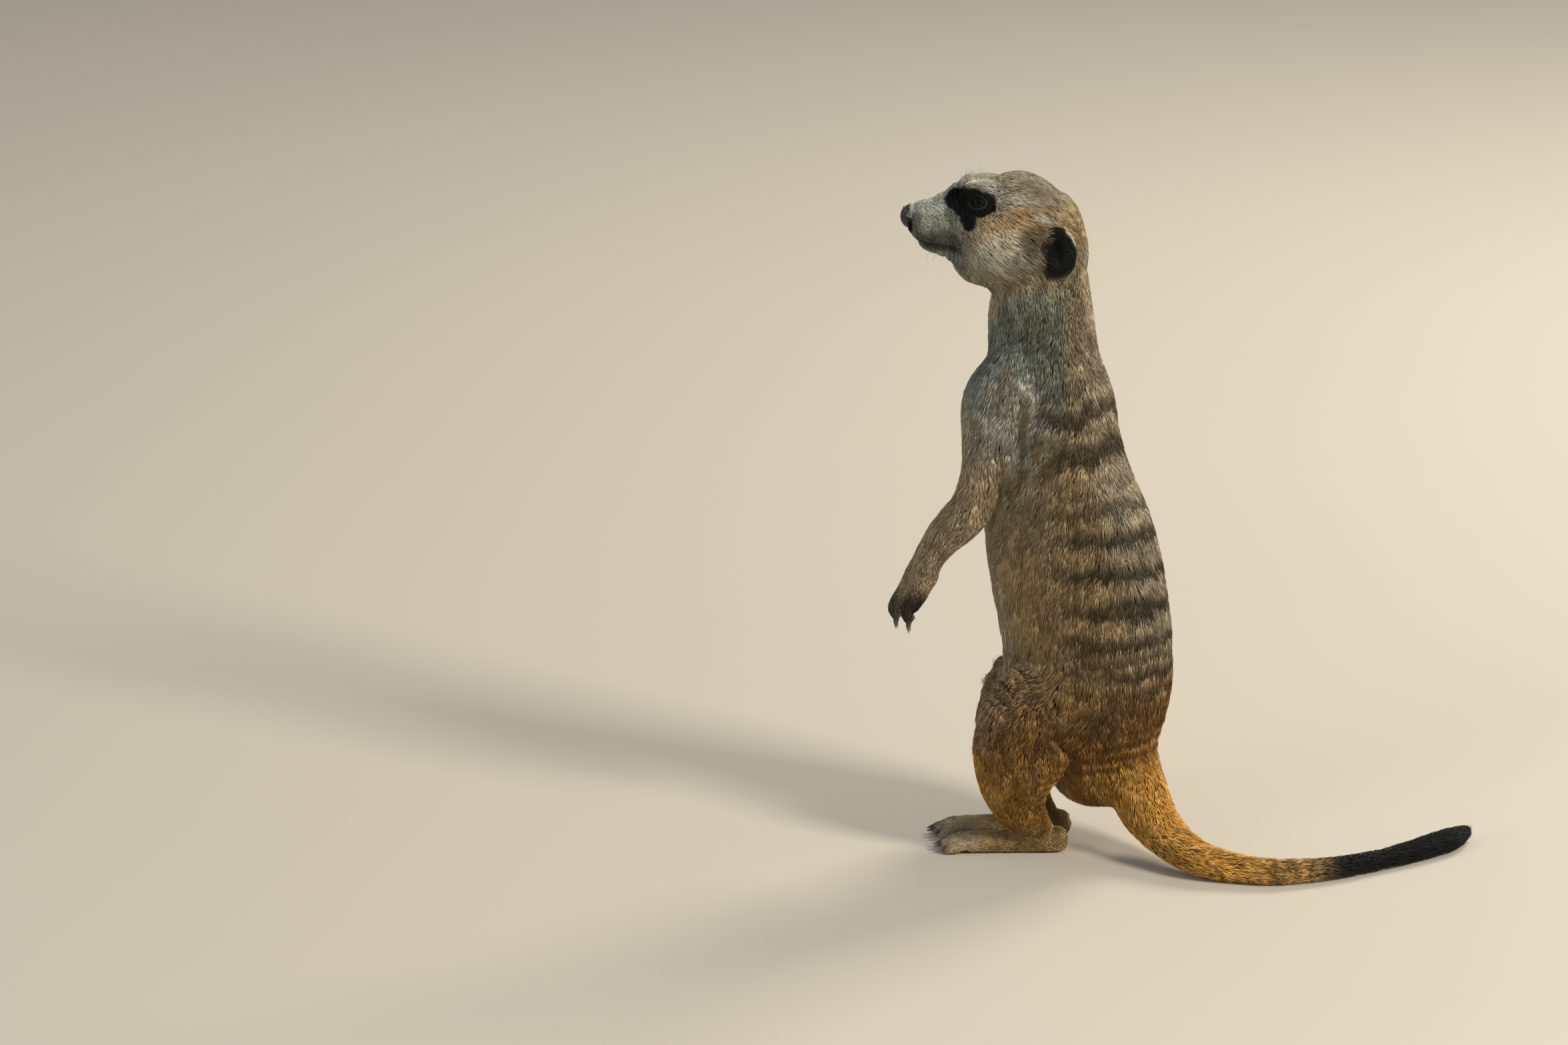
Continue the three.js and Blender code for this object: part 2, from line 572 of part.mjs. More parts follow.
function buildHead() {
  let head = region("trunk", ROOM.head, CELL.head, false);
  for (const side of [-1, 1]) {
    const eyeAt = [HEAD[0] + EYE.at[0], HEAD[1] + side * EYE.at[1], HEAD[2] + EYE.at[2]];
    const ball = (radius) => new THREE.SphereGeometry(radius, 10, 7).translate(...eyeAt);
    head = head.subtract(solidOf(ball(EYE.radius + GAP)));
    add(side < 0 ? "eye_left" : "eye_right", solidOf(ball(EYE.radius)), "eye");
  }
  const ear = (side) => {
    const [middle, half] = EAR_SHELL;
    const at = [HEAD[0] + middle[0], HEAD[1] + side * middle[1], HEAD[2] + middle[2]];
    const room = (grow) =>
      solidOf(new THREE.SphereGeometry(1, 12, 8).scale(...half.map((v) => EAR_ROOM * v + grow)).translate(...at));
    const field = (p) => body(p).d;
    const wide = half.map((v) => v * EAR_ROOM + CELL.ear);
    const exact = surfaceNet(field, at.map((v, k) => v - wide[k]), at.map((v, k) => v + wide[k]), CELL.ear);
    add(side < 0 ? "ear_left" : "ear_right", solidOf(exact).intersect(room(0)), "dark");
    head = head.subtract(room(GAP));
  };
  sides.forEach((_, i) => ear(i * 2 - 1));
  add("nose", slices(region("trunk", ROOM.nose, CELL.nose, false), [CUTS.nose])[0], "dark");
  const rest = slices(head, [CUTS.nose])[1];
  const [fx, fz] = MOUTH.front;
  const [cx, cz] = MOUTH.corner;
  const run = cx - fx;
  const drop = Math.atan2(cz - fz, run);
  const mouthBlock = (grow) =>
    solidOf(
      new THREE.BoxGeometry(run + MOUTH.ahead + 2 * grow, 2 * MOUTH.halfWidth, MOUTH.depth + 2 * grow)
        .translate((run - MOUTH.ahead) / 2, 0, -MOUTH.depth / 2)
        .rotateY(-drop)
        .translate(HEAD[0] + fx, HEAD[1], HEAD[2] + fz),
    );
  add("jaw", rest.intersect(mouthBlock(0)), "fur");
  add("head", rest.subtract(mouthBlock(GAP)), "fur");
}

function buildTrunk() {
  add("neck", region("trunk", ROOM.neck, CELL.neck, false), "fur");
  const [rump, loin, chest] = slices(region("trunk", ROOM.trunk, CELL.trunk), [CUTS.rump, CUTS.loin]);
  add("rump", rump, "fur");
  add("loin", loin, "fur");
  add("chest", chest, "fur");
}

// A curved horn from a point inside its digit, or the pocket that gives it room.
function claw(start, kind, room = 0) {
  const rings = [0, 0.5];
  const direction = vec(kind.along).normalize();
  const curl = vec(kind.bend);
  const root = vec(start).addScaledVector(direction, -room);
  const length = kind.length + 2 * room;
  const at = (t) => root.clone().addScaledVector(direction, length * t).addScaledVector(curl, length * t * t);
  const points = [];
  for (const t of rings) {
    const heading = direction.clone().addScaledVector(curl, 2 * t).normalize();
    const across = heading.clone().cross(new THREE.Vector3(0, 1, 0)).normalize();
    const other = heading.clone().cross(across);
    for (let i = 0; i < CLAW_SIDES; i++) {
      const angle = (i / CLAW_SIDES) * 2 * Math.PI;
      const radius = kind.radius * (1 - CLAW_TAPER * t) + 1.3 * room;
      const offset = across.clone().multiplyScalar(Math.cos(angle) * radius * CLAW_HEIGHT);
      points.push(at(t).add(offset).addScaledVector(other, Math.sin(angle) * radius));
    }
  }
  points.push(at(0), at(1));
  const [base, tip] = [points.length - 2, points.length - 1];
  const faces = [];
  const last = (rings.length - 1) * CLAW_SIDES;
  for (let i = 0; i < CLAW_SIDES; i++) {
    const j = (i + 1) % CLAW_SIDES;
    faces.push(base, j, i, tip, last + i, last + j);
    faces.push(i, j, CLAW_SIDES + i, j, CLAW_SIDES + j, CLAW_SIDES + i);
  }
  const geometry = new THREE.BufferGeometry();
  geometry.setAttribute("position", new THREE.Float32BufferAttribute(points.flatMap((p) => p.toArray()), 3));
  geometry.setIndex(faces);
  return solidOf(geometry);
}

// Adds a claw at each place and takes its pocket out of the paw.
function setClaws(paw, places, kind, name) {
  places.forEach((place, i) => {
    paw = paw.subtract(claw(place, kind, GAP));
    add(`${name}_${i + 1}`, claw(place, kind), "claw");
  });
  return paw;
}

function buildArm(side) {
  const arm = region(side + "_arm", ROOM["arm_" + side], CELL.arm);
  const [fore, upper] = slices(arm, [CUTS["elbow_" + side]]);
  add("upper_arm_" + side, upper, "fur");
  add("forearm_" + side, fore, "fur");
  const paw = region(side + "_arm", ROOM["hand_" + side], CELL.hand, false);
  const ends = DIGIT_SPREAD.map((s) => {
    const [x, y, z] = fingerRows(HANDS[side], s)[2];
    return [x + 0.2, y, z - FINGER_RADIUS * 0.2];
  });
  add("hand_" + side, setClaws(paw, ends, HAND_CLAW, "claw_hand_" + side), "dark");
}

function buildLeg(side) {
  const knee = CUTS["knee_" + side];
  add("thigh_" + side, slices(region(side + "_leg", ROOM["thigh_" + side], CELL.thigh), [knee])[1], "fur");
  add("shank_" + side, slices(region(side + "_leg", ROOM["shank_" + side], CELL.shank), [knee])[0], "rufous");
  const paw = region(side + "_leg", ROOM["foot_" + side], CELL.foot, false);
  const ends = DIGIT_SPREAD.map((s) => {
    const [x, y, z] = toeRows(FEET[side], s)[0];
    return [x - TOE_RADIUS * 0.25, y, z + 0.9];
  });
  add("foot_" + side, setClaws(paw, ends, FOOT_CLAW, "claw_foot_" + side), "fur");
}

function buildTail() {
  const base = region("tail", ROOM.tail_root, CELL.arm);
  const rest = slices(region("tail", ROOM.tail, CELL.tail, false), [CUTS.tail_root])[1];
  const [middle, end, tip] = slices(rest, [CUTS.tail_middle, CUTS.tail_end]);
  add("tail_root", slices(base, [CUTS.tail_root])[0], "rufous");
  add("tail_middle", middle, "rufous");
  add("tail_end", end, "rufous");
  add("tail_tip", tip, "dark");
}

buildHead();
buildTrunk();
sides.forEach(buildArm);
sides.forEach(buildLeg);
buildTail();
meerkat.position.set(-BODY_CENTRE[0], -BODY_CENTRE[1], 0);

export default meerkat;
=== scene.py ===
"""Skin, coat, eyes, nose and claws of a life-size meerkat that stands upright on its hind feet.

The body is one field of blended tubes and lumps, in millimetres: it looks along -X, its left is
towards -Y, and the floor is z = 0. The skin is the field's surface, sunk by the depth of the coat.
The coat is thousands of thin closed tufts rooted on that skin. All meshes end up in metres.
"""

import json
import math

import bpy
import numpy as np
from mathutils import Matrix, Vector

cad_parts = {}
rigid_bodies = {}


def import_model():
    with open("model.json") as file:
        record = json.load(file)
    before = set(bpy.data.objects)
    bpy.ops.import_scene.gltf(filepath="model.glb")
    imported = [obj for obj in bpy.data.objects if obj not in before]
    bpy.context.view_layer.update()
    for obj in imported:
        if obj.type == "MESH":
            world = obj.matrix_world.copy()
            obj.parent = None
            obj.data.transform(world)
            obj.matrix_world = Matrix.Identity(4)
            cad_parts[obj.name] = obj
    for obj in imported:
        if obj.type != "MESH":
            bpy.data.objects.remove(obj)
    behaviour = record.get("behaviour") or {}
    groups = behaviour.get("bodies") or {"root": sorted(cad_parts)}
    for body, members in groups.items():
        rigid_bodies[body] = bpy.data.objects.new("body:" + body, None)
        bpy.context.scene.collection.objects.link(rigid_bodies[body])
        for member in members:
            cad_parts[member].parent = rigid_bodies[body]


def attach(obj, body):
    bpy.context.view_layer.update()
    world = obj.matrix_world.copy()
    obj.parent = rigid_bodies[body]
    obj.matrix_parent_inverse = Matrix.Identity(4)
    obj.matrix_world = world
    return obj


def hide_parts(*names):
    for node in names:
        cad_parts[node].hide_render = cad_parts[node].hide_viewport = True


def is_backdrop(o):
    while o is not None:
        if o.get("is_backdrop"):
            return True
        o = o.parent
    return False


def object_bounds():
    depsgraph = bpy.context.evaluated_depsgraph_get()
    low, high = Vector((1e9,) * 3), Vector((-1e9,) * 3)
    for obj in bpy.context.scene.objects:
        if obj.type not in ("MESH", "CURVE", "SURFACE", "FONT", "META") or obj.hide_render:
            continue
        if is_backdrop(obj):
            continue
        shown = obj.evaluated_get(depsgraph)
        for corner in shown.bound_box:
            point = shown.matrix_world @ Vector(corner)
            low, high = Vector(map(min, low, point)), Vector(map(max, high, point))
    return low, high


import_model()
CAD_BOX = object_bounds()

bl_info = {
    "name": "Meerkat Coat",
    "version": (1, 0, 0),
    "blender": (4, 5, 0),
    "location": "View3D > Sidebar > Meerkat",
    "description": "Builds the skin, coat, eyes, nose and claws of a standing meerkat",
    "category": "Mesh",
}

# ---- Driving sizes, in millimetres ----
BODY_CENTRE = np.array((48.87, -16.79, 0.0))  # this point of the body's frame is the origin's
HEAD = np.array((-30.0, 4.0, 266.9))  # middle of the face, between the cheeks
EYE_AT = (-8.8, 11.6, 14.4)  # in the head's frame, left and right alike
EYE_RADIUS = 4.9
EYE_LOOK = (-0.34, 0.92, 0.17)  # the way an eye faces, in the head's frame
FLOOR = 0.15  # the skin's lowest height
SEED = 11

# A tube's rows: x, y, z of the section's centre, its reach to the front, back and side,
# how softly it melts into what is already there, and the section's yaw in degrees.
# Front is the way of tangent x side: ahead on a tube that climbs, up on one that runs along +X.
SPINE = (
    (12.5, 0, 38, 22, 22, 23, 8, 18),
    (10.5, 0, 52, 31, 31, 29, 8, 21),
    (9, 0, 70, 36, 36, 32, 8, 24),
    (8.2, 0, 90.7, 37, 36.4, 33.5, 8, 26),
    (5.1, 0, 111.3, 37.6, 36.6, 34, 8, 27),
    (1.5, 0, 131.9, 37.6, 35.7, 34, 8, 28),
    (-3, 0, 152.5, 34.4, 31.4, 33, 8, 28),
    (-5.5, 0, 173.1, 29.6, 26.4, 31, 8, 28),
    (-6.5, 0.5, 191, 27.6, 25, 28.5, 8, 26),
    (-9.2, 1, 206, 26, 22.8, 24.5, 8, 22),
    (-10.4, 1.5, 217, 24.4, 21.6, 21.5, 8, 16),
    (-11.4, 2.5, 236, 23, 20.3, 20.5, 8, 8),
    (-10, 3.5, 254, 18, 16.5, 19, 8, 3),
)
LEFT_ARM = (
    (-23.5, -11, 208, 13, 14, 13, 12, 0),
    (-30.5, -14, 195.5, 14.5, 15.8, 13.5, 10, 0),
    (-35, -16, 178, 10, 11.2, 9.5, 6, 0),
    (-38, -17.5, 165, 8.2, 8.6, 8, 4, 0),
    (-42, -18, 151, 8.6, 9, 9, 3, 0),
    (-47.5, -17, 143, 7.4, 9.3, 9, 3, 0),
    (-53.8, -15.5, 136, 6, 7.8, 8, 3, 0),
    (-59.2, -14.5, 128.2, 5.4, 6, 6.4, 3, 0),
    (-62, -14, 120.5, 5.2, 5.2, 6, 3, 0),
)
RIGHT_ARM = (
    (-8, 20, 203, 13, 14, 14, 12, 0),
    (-16, 24.5, 188, 12, 12.5, 12.5, 10, 0),
    (-29, 27.5, 161, 8.6, 8.6, 8.6, 6, 0),
    (-41, 25.5, 142, 8.4, 8.4, 8.8, 4, 0),
    (-51, 20, 132, 7.6, 7.6, 8.4, 3, 0),
    (-58.6, 16.5, 122.5, 6.2, 6.2, 6.8, 3, 0),
    (-63.6, 14.8, 114, 5.2, 5.2, 5.8, 3, 0),
)
LEFT_LEG = (
    (13, -15, 68, 22, 22, 17, 12, 0),
    (-5, -20, 68, 21.5, 20, 15, 13, 0),
    (-18.5, -22.5, 64, 22, 18.6, 13.6, 10, 0),
    (-26, -23.5, 52, 26, 15, 12.6, 11, 0),
    (-27.2, -23.5, 43.5, 27, 13.4, 12, 12, 0),
    (-25.5, -22, 30.5, 22, 12, 10.6, 7, 0),
    (-19.8, -19, 18.5, 11, 10, 8.6, 3, 0),
    (-14, -16.5, 10, 8, 8, 7, 3, 0),
)
RIGHT_LEG = (
    (17, 16, 68, 22, 22, 17, 12, 0),
    (-3, 19, 68, 21, 19.6, 15, 13, 0),
    (-16.5, 20.5, 64, 21.4, 18, 13.6, 10, 0),
    (-24, 21, 52, 25, 14.6, 12.6, 11, 0),
    (-25.5, 20.5, 43.5, 26, 13, 12, 12, 0),
    (-23.5, 18.5, 30.5, 21, 12, 10.6, 7, 0),
    (-18, 15, 18.5, 11, 10, 8.6, 3, 0),
    (-12, 12.5, 10, 8, 8, 7, 3, 0),
)
TAIL = (
    (21, -4, 48, 14, 14, 13, 9, 24),
    (26, -7, 36, 12.8, 12.8, 12.6, 7, 0),
    (29.8, -13, 26, 12.8, 12.8, 12.6, 4, 0),
    (34.2, -22, 18.2, 11.4, 11.4, 11.4, 3, 0),
    (41, -35.5, 12.8, 9.6, 9.6, 9.6, 3, 0),
    (48.3, -47, 9.4, 8.4, 8.4, 8.4, 3, 0),
    (57, -56.2, 7.3, 7.6, 7.6, 7.6, 3, 0),
    (73, -62.5, 5.6, 6.3, 6.3, 6.3, 3, 0),
    (88, -64.5, 5.1, 5.9, 5.9, 5.9, 3, 0),
    (110, -57, 4.4, 5.2, 5.2, 5.2, 3, 0),
    (132, -42, 3.9, 4.8, 4.8, 4.8, 3, 0),
    (148, -29, 4.4, 5.2, 5.2, 5.2, 3, 0),
    (163, -14, 4.6, 5.4, 5.4, 5.4, 3, 0),
    (171, 1, 4, 3, 3, 3, 3, 0),
)
SKULL = (
    (-37.4, 0, 6.4, 4.8, 5.6, 4.8, 3, 0),
    (-33.5, 0, 5.4, 8, 8.8, 7.8, 3, 0),
    (-26, 0, 3.6, 11.6, 12.4, 10.4, 3, 0),
    (-20.5, 0, 3.8, 13.6, 18.6, 12.4, 3, 0),
    (-15.5, 0, 4.2, 17.4, 22, 15.4, 3, 0),
    (-9, 0, 3.4, 19.6, 25.6, 18.8, 3, 0),
    (-2, 0, 2, 21.8, 26, 21.4, 3, 0),
    (6, 0, 1.2, 24.2, 24, 23, 3, 0),
    (12.5, 0, 0.2, 22.6, 20, 23.2, 3, 0),
    (18.6, 0, -1.4, 19.2, 15.6, 21, 3, 0),
)
HEAD_LUMPS = (
    ((-8.5, 9.4, 18.8), (8, 6.4, 4), 4),  # brow over the eye
    ((3, 15.5, -4), (15, 9, 13), 6),  # cheek
    ((-27.5, 5.6, 3), (9, 5.4, 6.4), 3),  # whisker pad
    ((-24, 0, -5.4), (10, 6.6, 4.4), 3),  # chin
)
EYE_SOCKET = ((-9.4, 17.6, 14.2), (6.6, 4.4, 4.8))
EAR_SHELL = ((22.8, 20.2, -5.2), (8.4, 4.9, 10.6))
EAR_HOLLOW = ((21.8, 26.0, -5.0), (5.6, 5.8, 8.0))
MOUTH_RADIUS, PHILTRUM_RADIUS = 0.35, 0.2
MOUTH = ((-37.5, 1.5, -0.6), (-34, 3.6, -2.6), (-29.9, 6, -4.2), (-19, 10.4, -5.2), (-12, 13.4, -7.6))
NOSTRIL = ((-42.4, 2.5, 6.2), (2.6, 1.15, 1.5))
PHILTRUM = ((-43, 0, 5), (-41, 0, 0.6))
NOSE_CUT = -39.2  # the nose pad begins here, in the head's frame
LID_RADIUS = EYE_RADIUS + 0.75
EYE_ROOM = 6.5  # how wide the skin's hollow round an eye is, where the lids go in
NECK_SOFT = 10  # how softly the head melts into the neck
HEAD_SOFT = {  # how softly the head's other forms melt into it or are cut from it
    "socket": 3, "lid": 1.6, "hollow": 0.8, "ear": 3, "mouth": 1.2, "slit": 0.6, "nostril": 0.5,
    "philtrum": 0.7,
}
LID_SLIT = (3.7, 3.4, 2.45)  # half sizes of the opening between the lids
HANDS = {
    "left": {"rows": ((-62, -14, 120.5), (-64.4, -13.6, 114), (-66.8, -13, 108.6)), "reach": (-2.4, -6.2)},
    "right": {"rows": ((-63.6, 14.8, 114), (-67.6, 14, 108), (-71.6, 13.5, 102.8)), "reach": (-2.6, -5.4)},
}
FEET = {
    "left": {"heel": (-5, -14.2, 5.6), "ball": (-41.5, -13, 3.8), "toe": 11},
    "right": {"heel": (-3, 11, 5.6), "ball": (-43.5, 12, 3.8), "toe": 11.5},
}
DIGITS = (-1.5, -0.5, 0.5, 1.5)  # places across the hand or foot, in digit spacings
FINGER = {"radius": 2.3, "spacing": 3.5, "outer": 0.72}  # the outer digits' length is a share
TOE = {"radius": 2.6, "spacing": 3.9, "outer": 0.8}
# Shares of the reach in x and z, offsets in x and z, spread, thickness, width, softness.
FINGER_ROWS = (
    ((0, 0), (1, 3), 0.8, 1, 1, 1.5),
    ((1, 0.45), (0, 0), 1, 1, 1, 0.8),
    ((0.9, 1), (0.6, 0), 1.05, 0.82, 0.86, 0.6),
)
# Share of the length, offset in x, spread, height, thickness on top, width, softness.
TOE_ROWS = ((1, 0, 1.12, 1.8, 0.9, 0.95, 0.8), (0.5, 0, 1.05, 3.6, 1, 1, 0.8), (0, 2, 0.8, 4, 1, 1, 1.5))
# Reaches, softness and yaw at the wrist, palm and knuckles, and at the ball, middle and heel.
PALM_SIZES = ((5.2, 5.2, 6, 2, 0), (4.6, 4.6, 6.8, 2, 0), (3.4, 3.4, 6.6, 2, 0))
SOLE_SIZES = ((3.8, 5, 7.6, 3, 0), (4.4, 6.4, 6.6, 3, 0), (5.4, 6.8, 6, 3, 0))
SIDES = ("left", "right")

# How deep the coat is over the skin, at the start and the end of each tube.
DEPTH = {
    "spine": (2.8, 2.0), "skull": (0.25, 1.9), "arm": (2.2, 0.9), "hand": (0.6, 0.4),
    "leg": (2.8, 0.9), "foot": (0.45, 0.6), "tail": (2.6, 1.5), "lumps": 0.9,
}


# ---- The field: how far a point is outside the body ----
TINY = 1e-9


def bend_path(rows, depth):
    """Rows carried along a Catmull-Rom path, three steps a stretch, each with the two directions
    across its section: front = tangent x the yawed side, side = front x tangent."""
    rows = np.array(rows, float)
    last = len(rows) - 1
    place = np.linspace(0, last, 3 * last + 1)
    i = np.minimum(place.astype(int), last - 1)
    t = (place - i)[:, None]
    a, b, c, d = (rows[np.clip(i + k, 0, last)] for k in (-1, 0, 1, 2))
    fine = 0.5 * (2 * b + (c - a) * t + (2 * a - 5 * b + 4 * c - d) * t**2 + (3 * b - a - 3 * c + d) * t**3)
    at = fine[:, :3]
    tangent = unit(np.concatenate((at[1:], at[-1:])) - np.concatenate((at[:1], at[:-1])))
    yaw = np.radians(fine[:, 7])
    front = unit(np.cross(tangent, np.stack((np.sin(yaw), np.cos(yaw), 0 * yaw), 1)))
    depths = np.linspace(*depth, len(at))[:, None]
    sizes = np.concatenate((fine[:, 3:7], depths), 1)
    box = at.min(0) - sizes[:, :3].max(), at.max(0) + sizes[:, :3].max()
    return {"at": at, "tangent": tangent, "front": front, "side": np.cross(front, tangent),
            "sizes": sizes, "box": box}


def unit(v):
    return v / np.maximum(np.linalg.norm(v, axis=-1, keepdims=True), TINY)


REACH = 14.0  # further out than this from a form, its distance is only "far"
INNER_CAP = 0.3  # how round the joints inside a tube are, next to its ends


def tube_distance(tube, p):
    """Distance to the tube's skin, its softness there, and the place along it: for the nearest
    stretch, |q| (1 - 1/k) plus the coat's depth, where q is the offset from the axis and k how
    many ellipsoid radii long it is."""
    best = np.full(len(p), REACH, np.float32)
    soft = np.ones(len(p), np.float32)
    place = np.zeros(len(p), np.float32)
    near = np.flatnonzero(np.all((p > tube["box"][0] - REACH) & (p < tube["box"][1] + REACH), axis=1))
    if not len(near):
        return best, soft, place
    q0 = p[near]
    low = np.full(len(near), np.inf, np.float32)
    its_soft, its_place = np.ones_like(low), np.zeros_like(low)
    at, sizes, front, side = (tube[k].astype(np.float32) for k in ("at", "sizes", "front", "side"))
    for k in range(len(at) - 1):
        along = at[k + 1] - at[k]
        length = np.linalg.norm(along)
        rel = q0 - at[k]
        run = rel @ along / length**2
        h = np.clip(run, 0, 1)
        q = rel - h[:, None] * along
        size = sizes[k] + h[:, None] * (sizes[k + 1] - sizes[k])
        u = (q @ front[k]) * (1 - h) + (q @ front[k + 1]) * h
        v = (q @ side[k]) * (1 - h) + (q @ side[k + 1]) * h
        w = q @ along / length
        is_end = (w < 0) if k == 0 else ((w > 0) if k == len(at) - 2 else np.zeros(len(w), bool))
        cap = size[:, :3].min(1) * np.where(is_end, 1, INNER_CAP)
        reach = np.where(u > 0, size[:, 0], size[:, 1])
        radii = np.sqrt((u / reach) ** 2 + (v / size[:, 2]) ** 2 + (w / cap) ** 2)
        d = np.linalg.norm(q, axis=1) * (1 - 1 / np.maximum(radii, 1e-3)) + size[:, 4]
        nearer = d < low
        low = np.where(nearer, d, low)
        its_soft = np.where(nearer, size[:, 3], its_soft)
        its_place = np.where(nearer, (k + h) / (len(at) - 1), its_place)
    best[near] = np.minimum(low, REACH)
    soft[near] = its_soft
    place[near] = its_place
    return best, soft, place


def lump(middle, half, q):
    """Distance to an ellipsoid: |offset| (1 - 1 / its length in radii)."""
    offset = q - np.array(middle, np.float32)
    radii = np.linalg.norm(offset / np.array(half, np.float32), axis=-1)
    return np.linalg.norm(offset, axis=-1) * (1 - 1 / np.maximum(radii, 1e-3))


def join(a, b, soft):
    """The smaller of a and b, with the crease between them filled over the softness."""
    return np.minimum(a, b) - np.maximum(soft - np.abs(a - b), 0) ** 2 / (4 * soft)


def carve(a, b, soft):
    return -join(-a, b, soft)


def segment_distance(p, a, b):
    a, b = np.array(a, np.float32), np.array(b, np.float32)
    h = np.clip((p - a) @ (b - a) / ((b - a) @ (b - a)), 0, 1)
    return np.linalg.norm(p - a - h[:, None] * (b - a), axis=1)


def finger_rows(hand, s):
    """A finger's rows: shares of the hand's reach from the knuckles, spread out from its middle."""
    (x, y, z), (dx, dz) = hand["rows"][2], hand["reach"]
    short = FINGER["outer"] if abs(s) > 1 else 1
    across, r = s * FINGER["spacing"], FINGER["radius"]
    return [(x + dx * short * a + ahead, y + across * spread, z + dz * short * b + above,
             r * thin, r * thin, r * wide, soft, 0)
            for (a, b), (ahead, above), spread, thin, wide, soft in FINGER_ROWS]


def toe_rows(foot, s):
    """A toe's rows, from its tip: shares of its length from the ball of the foot."""
    x, y = foot["ball"][:2]
    across, r = s * TOE["spacing"], TOE["radius"]
    reach = foot["toe"] * (TOE["outer"] if abs(s) > 1 else 1)
    return [(x - reach * run + ahead, y + across * spread, z, r * top, r, r * wide, soft, 0)
            for run, ahead, spread, z, top, wide, soft in TOE_ROWS]


def hand_paths(hand):
    palm = [row + sizes for row, sizes in zip(hand["rows"], PALM_SIZES)]
    return [bend_path(rows, DEPTH["hand"]) for rows in (palm, *(finger_rows(hand, s) for s in DIGITS))]


def foot_paths(foot):
    heel, ball = np.array(foot["heel"]), np.array(foot["ball"])
    middle = heel + 0.45 * (ball - heel)
    sole = [(*at, *sizes) for at, sizes in zip((foot["ball"], middle, foot["heel"]), SOLE_SIZES)]
    return [bend_path(rows, DEPTH["foot"]) for rows in (sole, *(toe_rows(foot, s) for s in DIGITS))]


SPINE_PATH = bend_path(SPINE, DEPTH["spine"])
SKULL_PATH = bend_path(SKULL, DEPTH["skull"])
LIMBS = {
    "tail": [bend_path(TAIL, DEPTH["tail"])],
    "left_arm": [bend_path(LEFT_ARM, DEPTH["arm"]), *hand_paths(HANDS["left"])],
    "right_arm": [bend_path(RIGHT_ARM, DEPTH["arm"]), *hand_paths(HANDS["right"])],
    "left_leg": [bend_path(LEFT_LEG, DEPTH["leg"]), *foot_paths(FEET["left"])],
    "right_leg": [bend_path(RIGHT_LEG, DEPTH["leg"]), *foot_paths(FEET["right"])],
}
HEAD_BOX = np.array(((-52, -42, -34), (58, 42, 42)), np.float32)


def in_head(p):
    """A point in the head's frame, with both sides folded onto one."""
    q = (p - HEAD.astype(np.float32)).astype(np.float32)
    q[:, 1] = np.abs(q[:, 1])
    return q


def from_slit(q, half):
    """How many of its radii a point is from the middle of the opening between the lids."""
    middle = np.array(EYE_AT, np.float32) + unit(np.array(EYE_LOOK, np.float32)) * EYE_RADIUS
    return np.linalg.norm((q - middle) / half, axis=1)


def head_distance(p, fine=False):
    """The skull's tube with its lumps, less the eye sockets and mouth, plus ears. The fine form has
    lids and nostrils; the other is hollow where the lids and the nose pad go in."""
    d = np.full(len(p), REACH, np.float32)
    place = np.zeros(len(p), np.float32)
    q = in_head(p)
    near = np.flatnonzero(np.all((q > HEAD_BOX[0]) & (q < HEAD_BOX[1]), axis=1))
    q = q[near]
    if not len(near):
        return d, place
    e, _, along = tube_distance(SKULL_PATH, q)
    for middle, half, soft in HEAD_LUMPS:
        e = join(e, lump(middle, half, q) + DEPTH["lumps"], soft)
    e = carve(e, lump(*EYE_SOCKET, q), HEAD_SOFT["socket"])
    eye = np.array(EYE_AT, np.float32)
    from_eye = np.linalg.norm(q - eye, axis=1)
    e = join(e, from_eye - LID_RADIUS, HEAD_SOFT["lid"])
    ear = carve(lump(*EAR_SHELL, q) + DEPTH["lumps"], lump(*EAR_HOLLOW, q), HEAD_SOFT["hollow"])
    e = join(e, ear, HEAD_SOFT["ear"])
    groove = np.min([segment_distance(q, a, b) for a, b in zip(MOUTH, MOUTH[1:])], axis=0)
    e = carve(e, groove - MOUTH_RADIUS, HEAD_SOFT["mouth"])
    if fine:
        slit = from_slit(q, np.array(LID_SLIT, np.float32))
        e = carve(e, (slit - 1) * LID_SLIT[2], HEAD_SOFT["slit"])
        e = carve(e, lump(*NOSTRIL, q), HEAD_SOFT["nostril"])
        e = carve(e, segment_distance(q, *PHILTRUM) - PHILTRUM_RADIUS, HEAD_SOFT["philtrum"])
    else:
        e = np.maximum(e, EYE_ROOM - from_eye)
        e = np.maximum(e, NOSE_CUT - q[:, 0])
    d[near] = np.minimum(e, REACH)
    place[near] = along
    return d, place


def survey(p, fine=False):
    """Every form's own distance and place along it, and the whole body's distance."""
    found = {}
    whole = None
    for name, paths in LIMBS.items():
        d, outer, place = tube_distance(paths[0], p)
        found[name] = {"place": place}
        end = np.full(len(p), REACH, np.float32)
        for path in paths[1:]:
            near, soft, _ = tube_distance(path, p)
            d = join(d, near, soft)
            end = np.minimum(end, near)
        found[name].update(d=d, end=end)
        whole = d if whole is None else join(whole, d, outer)
    d, outer, place = tube_distance(SPINE_PATH, p)
    head, along = head_distance(p, fine)
    found["trunk"] = {"d": d, "place": place}
    found["head"] = {"d": head, "place": along}
    whole = join(whole, join(d, head, NECK_SOFT), outer)
    found["whole"] = np.maximum(whole, FLOOR - p[:, 2])
    return found


def body_distance(p):
    return survey(p.astype(np.float32))["whole"]


# ---- Noise and small maths ----
CORNERS = np.array([(a, b, c) for a in (0, 1) for b in (0, 1) for c in (0, 1)])
PRIMES = (73856093, 19349663, 83492791)
HASH_SEED, HASH_MIX, HASH_LAST = 2654435761, 1274126177, 0xFFFF


